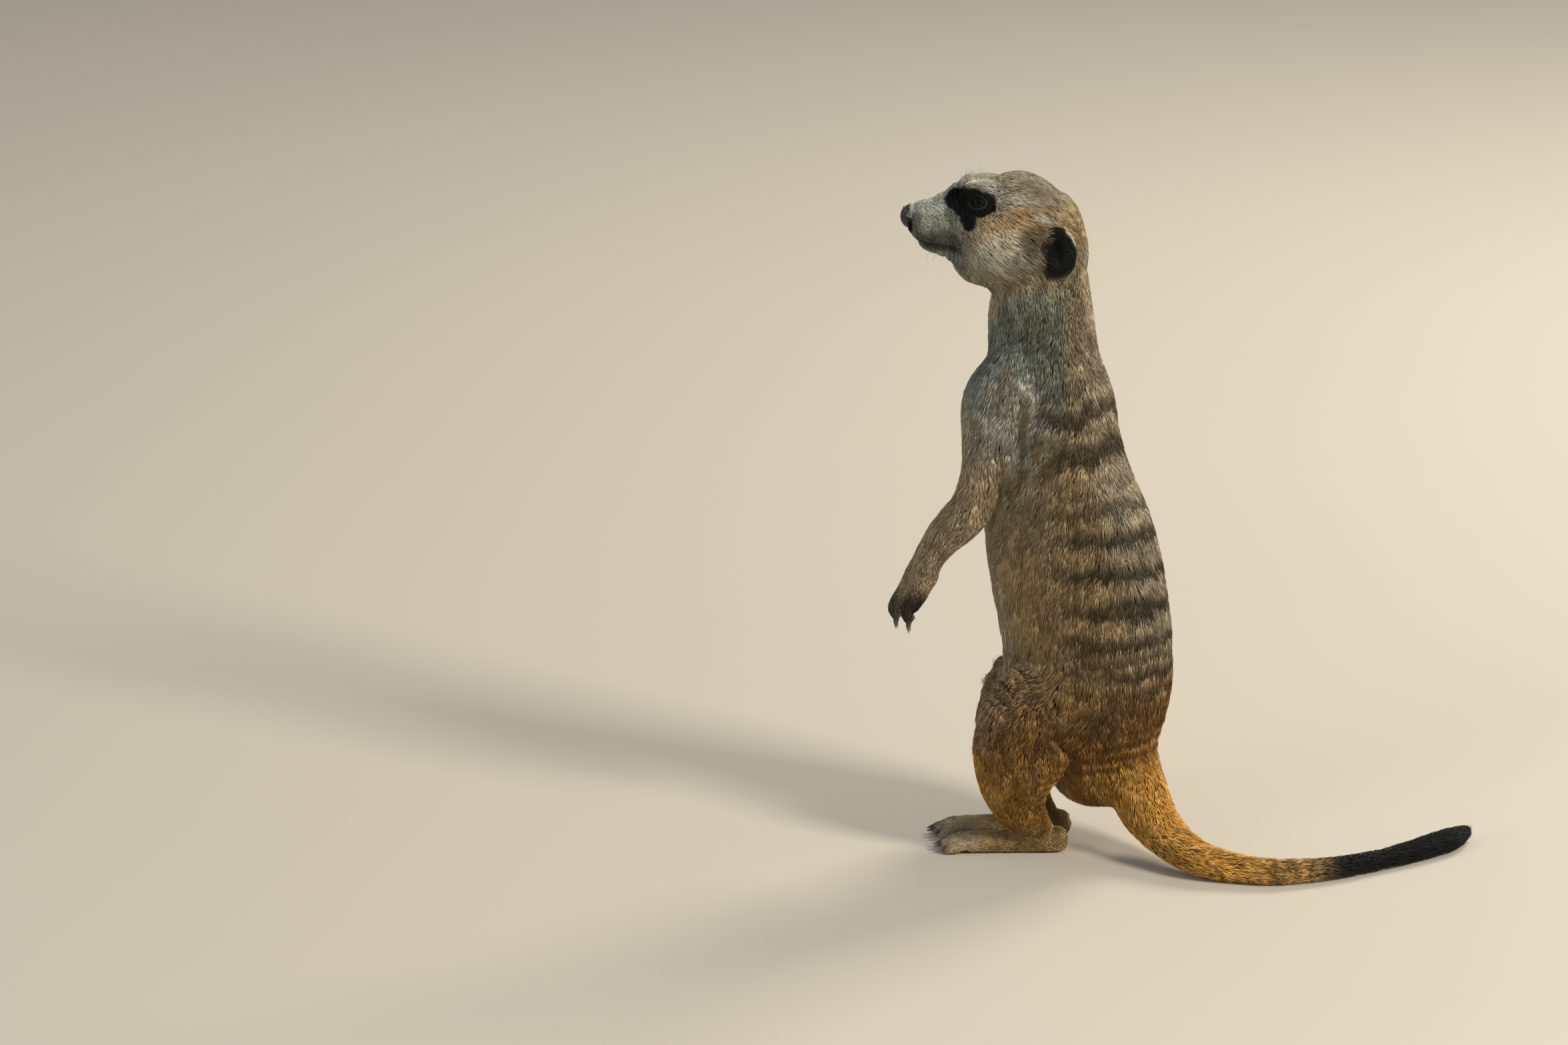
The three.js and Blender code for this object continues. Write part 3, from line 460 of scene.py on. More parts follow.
def lattice(cell, seed):
    """A number in 0..1 that belongs to a whole-numbered cell."""
    h = (cell[:, 0] * PRIMES[0]) ^ (cell[:, 1] * PRIMES[1]) ^ (cell[:, 2] * PRIMES[2]) ^ (seed * HASH_SEED)
    h = (h ^ (h >> 13)) * HASH_MIX
    return ((h ^ (h >> 16)) & HASH_LAST) / HASH_LAST


def noise(p, size, seed):
    """Smooth noise in 0..1: lattice numbers blended between the eight corners round a point."""
    q = p / size
    cell = np.floor(q).astype(np.int64)
    f = q - cell
    f = f * f * (3 - 2 * f)
    return sum(np.prod(np.where(c, f, 1 - f), axis=1) * lattice(cell + c, seed) for c in CORNERS)


def clumps(p, size, seed):
    """The nearest of points scattered one to a lattice cell: its place, and a number of its own."""
    cell = np.floor(p / size).astype(np.int64)
    low = np.full(len(p), np.inf)
    place, number = np.zeros_like(p), np.zeros(len(p))
    for shift in np.ndindex(3, 3, 3):
        its = cell + np.array(shift) - 1
        middle = (its + np.stack([lattice(its, seed + k) for k in (1, 2, 3)], 1)) * size
        d = ((p - middle) ** 2).sum(1)
        nearer = d < low
        low = np.where(nearer, d, low)
        place = np.where(nearer[:, None], middle, place)
        number = np.where(nearer, lattice(its, seed), number)
    return place, number


def step(low, high, x):
    """0 below low, 1 above high, smooth between; falls instead where low is above high."""
    t = np.clip((x - low) / (high - low), 0, 1)
    return t * t * (3 - 2 * t)


def blob(q, middle, half, ragged=0.0):
    """1 inside an ellipsoid and 0 outside, with a soft edge that the ragged term pushes about."""
    radii = np.linalg.norm((q - np.array(middle)) / np.array(half), axis=1)
    return step(1.22, 0.78, radii + ragged)


def ridge(q, points, width, ragged=0.0):
    """1 along a bent line and 0 beyond its width."""
    d = np.min([segment_distance(q, a, b) for a, b in zip(points, points[1:])], axis=0)
    return step(1.3, 0.6, d / width + ragged)


def along_path(path, key, place):
    """What the path carries at this share of its length."""
    values = path[key]
    at = np.clip(place, 0, 1) * (len(values) - 1)
    i = np.minimum(at.astype(int), len(values) - 2)
    t = (at - i)[:, None]
    return values[i] * (1 - t) + values[i + 1] * t


# ---- The lie and length of the coat ----
FORMS = ("trunk", "head", "left_arm", "right_arm", "left_leg", "right_leg", "tail")
KIND = {name: name.split("_")[-1] for name in FORMS}  # both arms are one kind, and both legs
LIE = {"head": (1.0, 0.0, -0.45), "arm": (-0.35, 0.0, -1.0), "leg": (-1.0, 0.0, -0.15)}  # head and paws
BLEND = 4.0  # how far from a border two forms still share the coat, in mm
# Heights where a paw begins and where it is full: over the wrist for an arm, over the floor for a leg.
PAW = {"arm": (6, -5), "leg": (17, 8)}
PAW_COAT = (1.9, 0.32, 0.5, 4.0)  # a paw's tufts: length, width, height of the tips and number per square mm

# For each kind of form, places along it (or, for the head, along its x axis), and there the tufts'
# length, width and number per square mm.
COAT = {
    "trunk": (((0, 0.3, 0.7, 1), (9.5, 10, 9, 7)), ((0, 0.7, 1), (0.46, 0.44, 0.38)), ((0, 1), (2.9, 2.9))),
    "arm": (((0, 0.45, 1), (9, 8, 4.5)), ((0, 0.5, 1), (0.46, 0.42, 0.34)), ((0, 1), (2.6, 3.0))),
    "leg": (((0, 0.45, 1), (8, 8, 5.5)), ((0, 0.5, 1), (0.46, 0.42, 0.34)), ((0, 1), (2.6, 3.0))),
    "tail": (((0, 0.3, 0.6, 1), (9, 7, 5, 5.5)), ((0, 0.4, 1), (0.46, 0.4, 0.36)),
             ((0, 0.4, 1), (2.2, 2.4, 2.4))),
}
HEAD_LENGTH = ((-36, -26, -18, -8, 4, 18), (1.0, 1.6, 2.4, 3.2, 4.2, 6.0))
ROUND_EYE = ((-9.8, 14.6, 14.4), (10, 8, 8))  # middle and half sizes of where tufts are half as long
HEAD_LONGER = (  # what tufts gain in length: how much, and the middle and half sizes of where
    (2.6, (12.3, 20.2, -1.2), (4, 8, 11)),  # before the ear
    (1.6, (20.8, 20.2, 8.3), (9, 8, 4)),  # over the ear
)
EAR_AREA = ((22.8, 21.7, -5.2), (9.4, 6.2, 11.4))
EAR_LENGTH = (1.7, 2.4)  # a tuft's length on the ear, and what it gains at the ear's front edge
WIDTH_BY_LENGTH = ((1, 2, 4, 7), (0.24, 0.28, 0.34, 0.42))
DENSITY_BY_LENGTH = ((1, 2, 3, 7), (8, 7, 5.6, 3.8))
# How much steeper than its limb the coat falls, by the place along the limb.
FALL = {"arm": ((0, 0.45, 0.7, 1), (0.5, 0.3, 0, 0)), "leg": ((0, 0.45, 0.7, 1), (2.4, 2, 0.5, 0.2))}
SWEEP = ((40, 95, 135, 185, 215, 235), (0.12, 0.25, 0.75, 0.85, 0.4, 0.2))  # towards the belly, by height


def shares_of(found):
    """How much each form owns of a point: exp(-extra distance / BLEND), made to add up to 1."""
    d = np.stack([found[name]["d"] for name in FORMS], 1)
    share = np.exp(-(d - d.min(1, keepdims=True)) / BLEND)
    return share / share.sum(1, keepdims=True)


def paw_share(p, name):
    """How far down a limb a point is in its hand or foot."""
    low, high = PAW[KIND[name]]
    wrist = HANDS[name.split("_")[0]]["rows"][0][2] if KIND[name] == "arm" else 0
    return step(wrist + low, wrist + high, p[:, 2])


def paws_of(p, share, kind):
    """How much of a point belongs to either of the two paws of a kind."""
    return sum(share[:, i] * paw_share(p, name) for i, name in enumerate(FORMS) if KIND[name] == kind)


def coat_at(p, found):
    """Each point's lie (a direction), tuft length and width, height of the tips over the skin,
    tufts per square mm, and share of each form."""
    share = shares_of(found)
    lie = np.zeros((len(p), 3))
    sizes = np.zeros((len(p), 4))
    for i, name in enumerate(FORMS):
        kind, place = KIND[name], found[name]["place"]
        path = {"trunk": SPINE_PATH, "head": SKULL_PATH}.get(name) or LIMBS[name][0]
        height = along_path(path, "sizes", place)[:, 4]
        if kind == "head":
            way = np.broadcast_to(LIE["head"], p.shape)
            its = head_coat(in_head(p), height)
        else:
            length, width, density = (np.interp(place, *row) for row in COAT[kind])
            its = np.stack((length, width, height, density), 1)
            way = trunk_lie(p, found) if kind == "trunk" else along_path(path, "tangent", place)
        if kind in FALL:
            paw = paw_share(p, name)[:, None]
            way = unit(way - np.interp(place, *FALL[kind])[:, None] * (0, 0, 1))
            way = way * (1 - paw) + np.array(LIE[kind]) * paw
            its = its * (1 - paw) + np.array(PAW_COAT) * paw
        lie += share[:, i : i + 1] * way
        sizes += share[:, i : i + 1] * its
    return unit(lie), *sizes.T, share


def trunk_lie(p, found):
    """Down the trunk, swept round towards the belly on the flanks and most of all on the ribs."""
    place = found["trunk"]["place"]
    turn = round_trunk(p, found)
    front, side = along_path(SPINE_PATH, "front", place), along_path(SPINE_PATH, "side", place)
    sweep = np.interp(p[:, 2], *SWEEP) * step(0.15, 1.1, np.abs(turn)) * step(3.0, 2.0, np.abs(turn))
    around = front * np.sin(np.abs(turn))[:, None] + side * (np.sign(turn) * np.cos(turn))[:, None]
    return around * sweep[:, None] - along_path(SPINE_PATH, "tangent", place)


def head_coat(q, height):
    """Tuft length, width, height and density on the head: shortest on the muzzle and round the
    eyes, longer on the cheeks and nape, and longest where the hair falls over the ears."""
    length = np.interp(q[:, 0], *HEAD_LENGTH)
    length = length + 2.0 * step(6, -14, q[:, 2]) * step(-26, 0, q[:, 0])
    length = length * (1 - 0.5 * blob(q, *ROUND_EYE))
    for gain, middle, half in HEAD_LONGER:
        length = length + gain * blob(q, middle, half)
    ear = ear_share(q)
    length = length * (1 - ear) + (EAR_LENGTH[0] + EAR_LENGTH[1] * step(17, 13, q[:, 0])) * ear
    width = np.interp(length, *WIDTH_BY_LENGTH)
    density = np.interp(length, *DENSITY_BY_LENGTH)
    return np.stack((length, width, height * (1 - 0.4 * ear), density), 1)


def ear_share(q):
    return blob(q, *EAR_AREA)


def round_trunk(p, found):
    """How far round the trunk a point is: 0 on the spine, pi in the middle of the belly."""
    place = found["trunk"]["place"]
    q = p - along_path(SPINE_PATH, "at", place)
    ahead = (q * along_path(SPINE_PATH, "front", place)).sum(1)
    aside = (q * along_path(SPINE_PATH, "side", place)).sum(1)
    return np.arctan2(aside, -ahead)


# ---- The markings: shares of each colour ----
# Dark bands across the back: height at the spine, height on the flank, half width, strength.
BANDS = (
    (222, 218, 1.8, 0.5), (208, 203, 2.2, 0.6), (196, 190.5, 3.2, 0.95), (180, 174, 4.6, 1.0),
    (166, 164, 1.8, 0.5), (154, 153, 2.6, 0.8), (142, 143.5, 3.2, 1.0), (125, 128, 3.2, 1.0),
    (109.5, 113, 3.2, 1.0), (96, 98.6, 2.6, 1.0), (88.5, 90.4, 1.7, 0.8), (82, 84.6, 2.2, 0.95),
    (74.3, 74.5, 2.0, 0.9), (66.5, 66, 1.9, 0.85), (59.5, 58.5, 1.8, 0.8), (52, 50.8, 1.8, 0.75),
    (43.5, 43.5, 1.8, 0.6),
)
FLANK = math.radians(80)  # how far round from the spine a band reaches
COLOURS = ("stripe_and_shade", "rufous", "black", "pale", "grey", "orange")
HAND_LOWER = 5.5  # the hands' dark colour begins this far under where the hand's coat begins

# Patches seen from the side: middle x and z, half sizes, and how ragged the edge is.
PATCHES = {
    # The shoulder's grey fur, with painted shade over it.
    "shoulder": ((-27, 0, 205), (20, 1, 30), 1.0),
    # The ruff's pale locks, with painted shade between them.
    "ruff": ((-25, 0, 191), (14, 1, 21), 1.2),
    # Painted shade on the trunk behind the upper arm.
    "behind_arm": ((-12, 0, 176), (13, 1, 13), 1.0),
}


def mark(colour, forms, *limits, add=True, over=None, speckle=(1, 0, 0)):
    """One marking: its colour, each form's strength, limits as (measure, none at, full at, drift),
    whether it adds to the colour or only tops it up, a measure that it is multiplied by, and how
    speckled it is: an even share, and shares of the fine and the drifting noise."""
    return {"colour": colour, "forms": forms, "limits": limits, "add": add, "over": over, "speckle": speckle}


BODY_MARKS = (
    mark("rufous", {"trunk": 1}, ("z", 96, 48, 8), ("turn", 2.9, 1.8, 0)),  # hips
    mark("rufous", {"trunk": 0.3}, ("turn", 1.1, 0.4, 0), ("z", 150, 190, 0)),  # upper back
    mark("rufous", {"leg": 0.25, "arm": 0.1}),
    mark("rufous", {"leg": 0.75}, ("z", 96, 48, 8)),
    mark("orange", {"trunk": 0.8}, ("z", 60, 34, 0), ("x", -10, 20, 0)),  # rump
    mark("orange", {"leg": 0.6}, ("z", 58, 26, 6)),
    mark("orange", {"tail": 1}, ("tail", 0.8, 0.5, 0)),
    mark("black", {"tail": 1}, ("tail", 0.55, 0.78, 0.05)),
    mark("grey", {"trunk": 1}, ("z", 165, 205, 0), over="side", add=False),  # neck
    mark("grey", {"trunk": 0.45}, ("z", 120, 160, 0), ("turn", 0.9, 1.6, 0), add=False),  # chest
    mark("grey", {"trunk": 1, "arm": 1}, over="shoulder", add=False),
    mark("grey", {"arm": 0.12}),
    mark("pale", {"trunk": 0.5}, ("turn", 1.9, 2.6, 0), ("z", 214, 196, 0)),  # belly
    mark("pale", {"arm": 0.15}, ("z", 175, 150, 0)),
    mark("pale", {"arm": 0.4}, ("z", 158, 176, 0)),
    mark("pale", {"leg": 0.25}, ("z", 44, 64, 0), ("x", -24, -36, 0)),  # knee
    # Painted light: paler along the spine, where the back's edge catches the light.
    mark("pale", {"trunk": 0.45}, ("turn", 0.9, 0.3, 0), ("z", 70, 110, 0)),  # spine
    # Painted shade over the shoulder.
    mark("stripe_and_shade", {"trunk": 0.42, "arm": 0.42}, over="shoulder", add=False, speckle=(0.5, 1, 1)),
    # Painted shade on the sides of the neck.
    mark("stripe_and_shade", {"trunk": 0.45}, ("z", 208, 224, 0), over="side", add=False, speckle=(0.6, 1, 1)),
    # Painted shade over the hips and legs behind the thigh's front edge, fullest low down.
    mark("stripe_and_shade", {"leg": 0.62, "trunk": 0.6}, ("z", 88, 50, 0), ("x", -44, -26, 0), add=False,
         speckle=(0.62, 1, 0.5)),  # behind the thigh's front edge
    # Painted shade behind the upper arm.
    mark("stripe_and_shade", {"trunk": 0.6, "arm": 0.6}, over="behind_arm", add=False, speckle=(0.6, 1, 1)),
)
TICK_MARKS = (
    mark("tick", {"trunk": 0.048, "arm": 0.14}),
    mark("tick", {"trunk": 0.072}, ("z", 130, 70, 0)),
    mark("tick", {"trunk": 0.132}, ("turn", 1.9, 1.2, 0), ("turn", 0.1, 0.9, 0)),
    mark("tick", {"trunk": 0.198}, ("turn", 1.9, 1.2, 0), ("turn", 0.1, 0.9, 0), ("z", 130, 70, 0)),
    mark("tick", {"leg": 0.16}, ("x", -44, -26, 0)),
    mark("tick", {"leg": 0.3}, ("x", -44, -26, 0), ("z", 36, 60, 0)),
    mark("tick", {"head": 0.22}, ("head_x", -14, 2, 0)),
)
TAIL_TICKS = ((0, 0.25, 0.45, 0.6, 0.7), (0.1, 0.1, 0.3, 0.6, 0.7))  # places along the tail, and chances

# Round marks on the head, in its frame: colour, strength, raggedness, middle, half sizes.
FACE_BLOBS = (
    ("eye", 1.0, 0.35, (-11.5, 11, 14.2), (9.6, 10, 7.2)),
    ("eye", 1.0, 0.35, (-18, 8, 15), (6.4, 8, 4.4)),
    ("eye", 1.0, 0.35, (-13.6, 12, 7.4), (3.9, 9, 5.2)),
    ("ear", 1.0, 0.8, (23.4, 22, -6.8), (8.4, 12, 11.4)),
    ("black", 1.0, 0.4, (-38.8, 0, 3.6), (5, 7, 4.6)),  # round the nose
    ("pale", 0.5, 0.9, (0, 18, -4), (15, 11, 9.5)),  # cheek
    ("pale", 0.8, 0.5, (-28, 0, 13), (12, 10, 8)),  # top of the muzzle
    ("pale", 0.35, 0.3, (-26, 0, -8), (10, 7, 4)),  # chin
    ("grey", 0.8, 0.0, (6, 4, 18), (24, 18, 16)),  # crown
    ("rufous", 0.4, 1.0, (14, 6, 18), (20, 16, 14)),
    ("stripe_and_shade", 0.75, 0.9, (-25, 8, -2.6), (13, 8, 6)),  # whisker bed
    ("stripe_and_shade", 0.5, 0.5, (-19, 9, 9), (5, 7, 4.5)),
    ("stripe_and_shade", 0.8, 0.9, (12.5, 22, 0), (5, 8, 7)),  # before the ear
)
# Long marks on the head: colour, strength, raggedness, half width, points.
FACE_LINES = (
    ("eye", 1.0, 0.5, 2.2, ((-5, 14, 13), (-0.5, 16, 10.6))),
    ("black", 0.5, 0.5, 2.0, MOUTH),
    ("pale", 0.75, 0.5, 3.2,
     ((-14, 7, 21.9), (-8.2, 10, 21.2), (-2, 14, 18.2), (7.6, 18, 15.4), (13.5, 19, 14.5))),
    ("pale", 1.0, 0.5, 2.5, ((15, 20, 10.6), (21, 20, 9.6), (26, 20, 6.2), (29.4, 20, 2), (30.6, 20, -4))),
    ("rufous", 1.0, 0.5, 2.9, ((-1.3, 16, 9.6), (3, 18, 9), (8, 19, 11.7), (17.5, 18, 14.4))),
)


def measures(p, found, share):
    """What the markings go by: places, noises, and each form's share at every point."""
    fine = noise(p * (1, 1, 0.45), 2.4, 22) - 0.5
    drift = noise(p, 9, 21) - 0.5
    turn = np.abs(round_trunk(p, found))
    at = {"x": p[:, 0], "z": p[:, 2], "turn": turn, "tail": found["tail"]["place"],
          "head_x": in_head(p)[:, 0], "fine": fine, "drift": drift, "ragged": 0.5 * drift + 0.5 * fine,
          "side": step(0.4, 1.25, turn) * step(2.9, 2.2, turn)}
    for name, (middle, half, edge) in PATCHES.items():
        at[name] = blob(p * (1, 0, 1), middle, half, edge * at["ragged"])
    at["ruff"] = 0.85 * at["ruff"] * step(0.9, 1.3, turn)
    at["behind_arm"] = at["behind_arm"] * step(0.6, 1.0, turn)
    shares = {kind: sum(share[:, i] for i, name in enumerate(FORMS) if KIND[name] == kind)
              for kind in set(KIND.values())}
    return at, shares


def laid_on(rows, shares_so_far, at, shares):
    """The colours' shares after each row of markings: form share x limits x patch x speckle."""
    for row in rows:
        value = sum(weight * shares[form] for form, weight in row["forms"].items())
        for name, low, high, drift in row["limits"]:
            value = value * step(low, high, at[name] + drift * at["drift"])
        even, fine, drift = row["speckle"]
        value = value * at.get(row["over"], 1) * (even + fine * at["fine"] + drift * at["drift"])
        before = shares_so_far[row["colour"]]
        shares_so_far[row["colour"]] = before + value if row["add"] else np.maximum(before, value)
    return shares_so_far


def bands(p, at, shares):
    """Bands across the back, wavering with the noise, with mottled fur between them and on the thighs."""
    z, turn, drift, fine = (at[name] for name in ("z", "turn", "drift", "fine"))
    stripe_and_shade = np.zeros(len(p))
    for at_spine, at_flank, half, strength in BANDS:
        middle = at_spine + (at_flank - at_spine) * np.clip(turn / FLANK, 0, 1.2)
        off = (z + 5 * drift + 2 * fine - middle) / half
        stripe_and_shade = np.maximum(stripe_and_shade, strength * step(1.4, 0.72, np.abs(off) + 0.8 * fine))
    mottle = 0.45 * step(0.56, 0.72, noise(p * (1, 1, 2.2), 7, 23)) * step(1.9, 1.2, turn) * step(40, 70, z)
    reach = step(1.62, 1.05, turn + 0.5 * drift)
    stripe_and_shade = np.maximum(stripe_and_shade * reach, mottle) * shares["trunk"] * step(232, 222, z)
    thigh = 0.6 * step(0.48, 0.66, noise(p * (1, 1, 2.5), 6, 24)) * step(34, 62, z) * step(-30, 0, p[:, 0])
    return stripe_and_shade + thigh * shares["leg"]


def face_marks(q, ragged):
    """Each colour's share on the head: the strongest of its marks."""
    face = {colour: np.zeros(len(q)) for colour in (*COLOURS, "eye", "ear")}
    for colour, strength, edge, middle, half in FACE_BLOBS:
        face[colour] = np.maximum(face[colour], strength * blob(q, middle, half, edge * ragged))
    for colour, strength, edge, width, points in FACE_LINES:
        face[colour] = np.maximum(face[colour], strength * ridge(q, points, width, edge * ragged))
    x, z = q[:, 0], q[:, 2]
    eye, ear = face["eye"] * step(22.4, 19.6, z), face["ear"] * ear_share(q)
    face["black"] = np.max((face["black"], eye, ear), axis=0)
    face["grey"] = np.max((face["grey"], step(-4, -20, x + 5 * ragged), 0.6 * step(4, -8, z)), axis=0)
    # Painted shade under the back of the jaw.
    face["stripe_and_shade"] = np.maximum(face["stripe_and_shade"], 0.35 * step(0, -12, z) * step(-4, 6, x))
    streak = face["rufous"]
    face["pale"] = face["pale"] * (1 - 0.8 * streak)
    face["grey"] = face["grey"] * (1 - 0.5 * streak)
    face["rufous"] = 0.85 * streak
    return face


def markings(p, found, share):
    """Shares in 0..1 of the dark bands with the painted shade, rufous, black, pale with the painted light
    along the spine, grey and orange over the buff ground.
    """
    at, shares = measures(p, found, share)
    fine, drift, ruff = (at[name] for name in ("fine", "drift", "ruff"))
    marks = {colour: np.zeros(len(p)) for colour in COLOURS}
    marks["stripe_and_shade"] = bands(p, at, shares)
    marks = laid_on(BODY_MARKS, marks, at, shares)
    tuft_line = step(0.34, 0.6, noise(p * (1, 1, 0.3), 3.0, 25) + 0.2 * drift)
    hand, foot = paws_of(p + (0, 0, HAND_LOWER), share, "arm"), paws_of(p, share, "leg")
    toes = foot * step(-30, -46, p[:, 0])
    marks["pale"] = np.max((marks["pale"], ruff * tuft_line, 0.4 * toes), axis=0)
    marks["grey"] = np.maximum(marks["grey"] * (1 - 0.7 * ruff), foot)
    marks["black"] = np.maximum(marks["black"], 0.6 * hand * (0.95 + 0.5 * drift))
    # Between the ruff's pale locks the dark is painted shade; the hands' and feet's dark fur is their own.
    marks["stripe_and_shade"] = np.max((marks["stripe_and_shade"], 0.5 * ruff * (1 - tuft_line), 0.8 * hand * (0.8 + 0.6 * fine),
                              0.3 * foot * (0.6 + fine + drift)), axis=0)
    head = shares["head"]
    face = face_marks(in_head(p), at["ragged"])
    for colour in ("stripe_and_shade", "rufous"):
        marks[colour] = marks[colour] * (1 - head)
    for colour in COLOURS:
        marks[colour] = np.maximum(marks[colour], head * face[colour])
    throat = 0.3 * shares["trunk"] * step(1.7, 2.3, at["turn"]) * step(195, 215, p[:, 2])
    marks["pale"] = np.maximum(marks["pale"], throat)
    marks["black"] = step(0.12, 0.7, marks["black"])
    return np.clip(np.stack([marks[colour] for colour in COLOURS], 1), 0, 1)


def ticking(p, found, share):
    """The chance that a tuft is one of the dark ones that grizzle the back, hips and tail."""
    at, shares = measures(p, found, share)
    chance = laid_on(TICK_MARKS, {"tick": np.zeros(len(p))}, at, shares)["tick"]
    chance = chance + shares["tail"] * np.interp(at["tail"], *TAIL_TICKS)
    return chance * (0.35 + 1.3 * step(0.3, 0.7, noise(p * (1, 1, 0.35), 1.7, 26)))


# ---- Surfaces from the field ----
def spread(values, *axes):
    """Values on a coarse grid, read by straight blending at the places of finer axes."""
    for k, (coarse, fine) in enumerate(axes):
        i = np.clip(np.searchsorted(coarse, fine, "right") - 1, 0, len(coarse) - 2)
        t = ((fine - coarse[i]) / (coarse[i + 1] - coarse[i])).astype(np.float32)
        t = t.reshape([-1 if a == k else 1 for a in range(3)])
        values = np.take(values, i, k) * (1 - t) + np.take(values, i + 1, k) * t
    return values


def grid_points(axes):
    return np.stack(np.meshgrid(*axes, indexing="ij"), -1).reshape(-1, 3).astype(np.float32)


COARSE = 5.0  # the first grid's spacing, in mm
BAND = 5.2  # within this of zero on the coarse grid, the fine grid is worked out
SETTLE_STEP = 0.8  # how far a point moves in one round of settling, at most


def surface_net(field, axes):
    """The field's zero surface on a grid with these axes: one vertex in each cell it crosses, at the
    mean of the crossings, and one quad round each crossed edge. Returns points and quads."""
    rough = [np.arange(a[0], a[-1] + COARSE, COARSE) for a in axes]
    d = field(grid_points(rough)).reshape([len(a) for a in rough])
    values = spread(d, *zip(rough, axes))
    near = np.abs(values) < BAND
    at = [a[i] for a, i in zip(axes, np.nonzero(near))]
    values[near] = field(np.stack(at, 1).astype(np.float32))
    return net_of(values, axes)


def net_of(values, axes):
    shape = np.array(values.shape)
    inside = values < 0
    cells, crossings, quads = [], [], []
    stride = np.array((shape[1] * shape[2], shape[2], 1))
    for k in range(3):
        a, b = (k + 1) % 3, (k + 2) % 3
        low = [slice(0, -1) if i == k else slice(1, -1) for i in range(3)]
        high = [slice(1, None) if i == k else slice(1, -1) for i in range(3)]
        found = np.stack(np.nonzero(inside[tuple(low)] != inside[tuple(high)]), 1)
        found += np.array([0 if i == k else 1 for i in range(3)])
        after = found.copy()
        after[:, k] += 1
        v0, v1 = values[tuple(found.T)], values[tuple(after.T)]
        t = v0 / (v0 - v1)
        point = np.stack([axes[i][found[:, i]] for i in range(3)], 1)
        point[:, k] += t * (axes[k][after[:, k]] - axes[k][found[:, k]])
        base = found @ stride
        round_edge = np.stack((base, base - stride[a], base - stride[a] - stride[b], base - stride[b]), 1)
        outward = v0 < 0
        quads.append(np.where(outward[:, None], round_edge, round_edge[:, ::-1]))
        cells.append(round_edge.ravel())
        crossings.append(np.repeat(point, 4, axis=0))
    cells, crossings, quads = map(np.concatenate, (cells, crossings, quads))
    ids, index = np.unique(cells, return_inverse=True)
    count = np.bincount(index)
    points = np.stack([np.bincount(index, crossings[:, i]) / count for i in range(3)], 1)
    return points, np.searchsorted(ids, quads)


def normals_of(points, faces):
    """Each point's normal: the mean of its faces' normals, weighed by their areas."""
    corners = points[faces]
    across = np.cross(corners[:, 2] - corners[:, 0], corners[:, 3 % faces.shape[1]] - corners[:, 1])
    across = np.repeat(across, faces.shape[1], axis=0)
    return unit(np.stack([np.bincount(faces.ravel(), across[:, i], len(points)) for i in range(3)], 1))


def settle(points, faces, field, rounds):
    """Points moved along their normals until the field there is zero."""
    for _ in range(rounds):
        shift = np.clip(field(points.astype(np.float32)), -SETTLE_STEP, SETTLE_STEP)
        points = points - normals_of(points, faces) * shift[:, None]
    return points


def as_triangles(quads):
    return np.concatenate((quads[:, [0, 1, 2]], quads[:, [0, 2, 3]]))


def revolve(profile, sides, origin, axis, up):
    """A profile of (radius, height) rows turned about an axis. Rows with no radius are poles."""
    axis = unit(np.array(axis, float))
    across = unit(np.cross(up, axis))
    other = np.cross(axis, across)
    angle = np.linspace(0, 2 * np.pi, sides, endpoint=False)
    ring = np.cos(angle)[:, None] * across + np.sin(angle)[:, None] * other
    profile = np.array(profile, float)
    middle = profile[1:-1]
    points = np.array(origin) + middle[:, 1][:, None, None] * axis + middle[:, 0][:, None, None] * ring[None]
    ends = [np.array(origin) + profile[k, 1] * axis for k in (0, -1)]
    return np.concatenate((points.reshape(-1, 3), ends)), tube_faces(len(middle), sides)


def tube_faces(rings, sides):
    """Triangles of a closed tube: rings of points in order, then one pole before and one after."""
    i = np.arange(sides)
    j = (i + 1) % sides
    start = np.arange(rings - 1)[:, None] * sides
    a, b, c, d = (k.ravel() for k in (start + i, start + j, start + sides + j, start + sides + i))
    last = (rings - 1) * sides
    return np.concatenate((
        np.stack((a, b, c), 1), np.stack((a, c, d), 1),
        np.stack((np.full(sides, rings * sides), j, i), 1),
        np.stack((np.full(sides, rings * sides + 1), last + i, last + j), 1)))


SIDEWAYS = (0.13, 0.97, 0.2)  # a direction that no carried path runs along


def carry(path, radius, sides, flat=1.0):
    """Closed tubes: a ring of the given radius round each point of each path. Paths are
    (many, rings, 3) arrays with (rings,) or (many, rings) radii; flat squeezes each ring's height."""
    path = np.asarray(path, float)
    many, rings, _ = path.shape
    tangent = unit(np.gradient(path, axis=1))
    across = unit(np.cross(tangent, SIDEWAYS))
    other = flat * np.cross(tangent, across)
    angle = np.linspace(0, 2 * np.pi, sides, endpoint=False)[:, None]
    radius = np.broadcast_to(radius, (many, rings))[..., None, None]
    across, other = across[:, :, None], other[:, :, None]
    ring = path[:, :, None] + radius * (np.cos(angle) * across + np.sin(angle) * other)
    inner = ring[:, 1:-1].reshape(many, -1, 3)
    points = np.concatenate((inner, path[:, :1], path[:, -1:]), 1)
    faces = tube_faces(rings - 2, sides)
    faces = faces[None] + (np.arange(many) * points.shape[1])[:, None, None]
    return points.reshape(-1, 3), faces.reshape(-1, 3)


# ---- Meshes ----
MM = 0.001


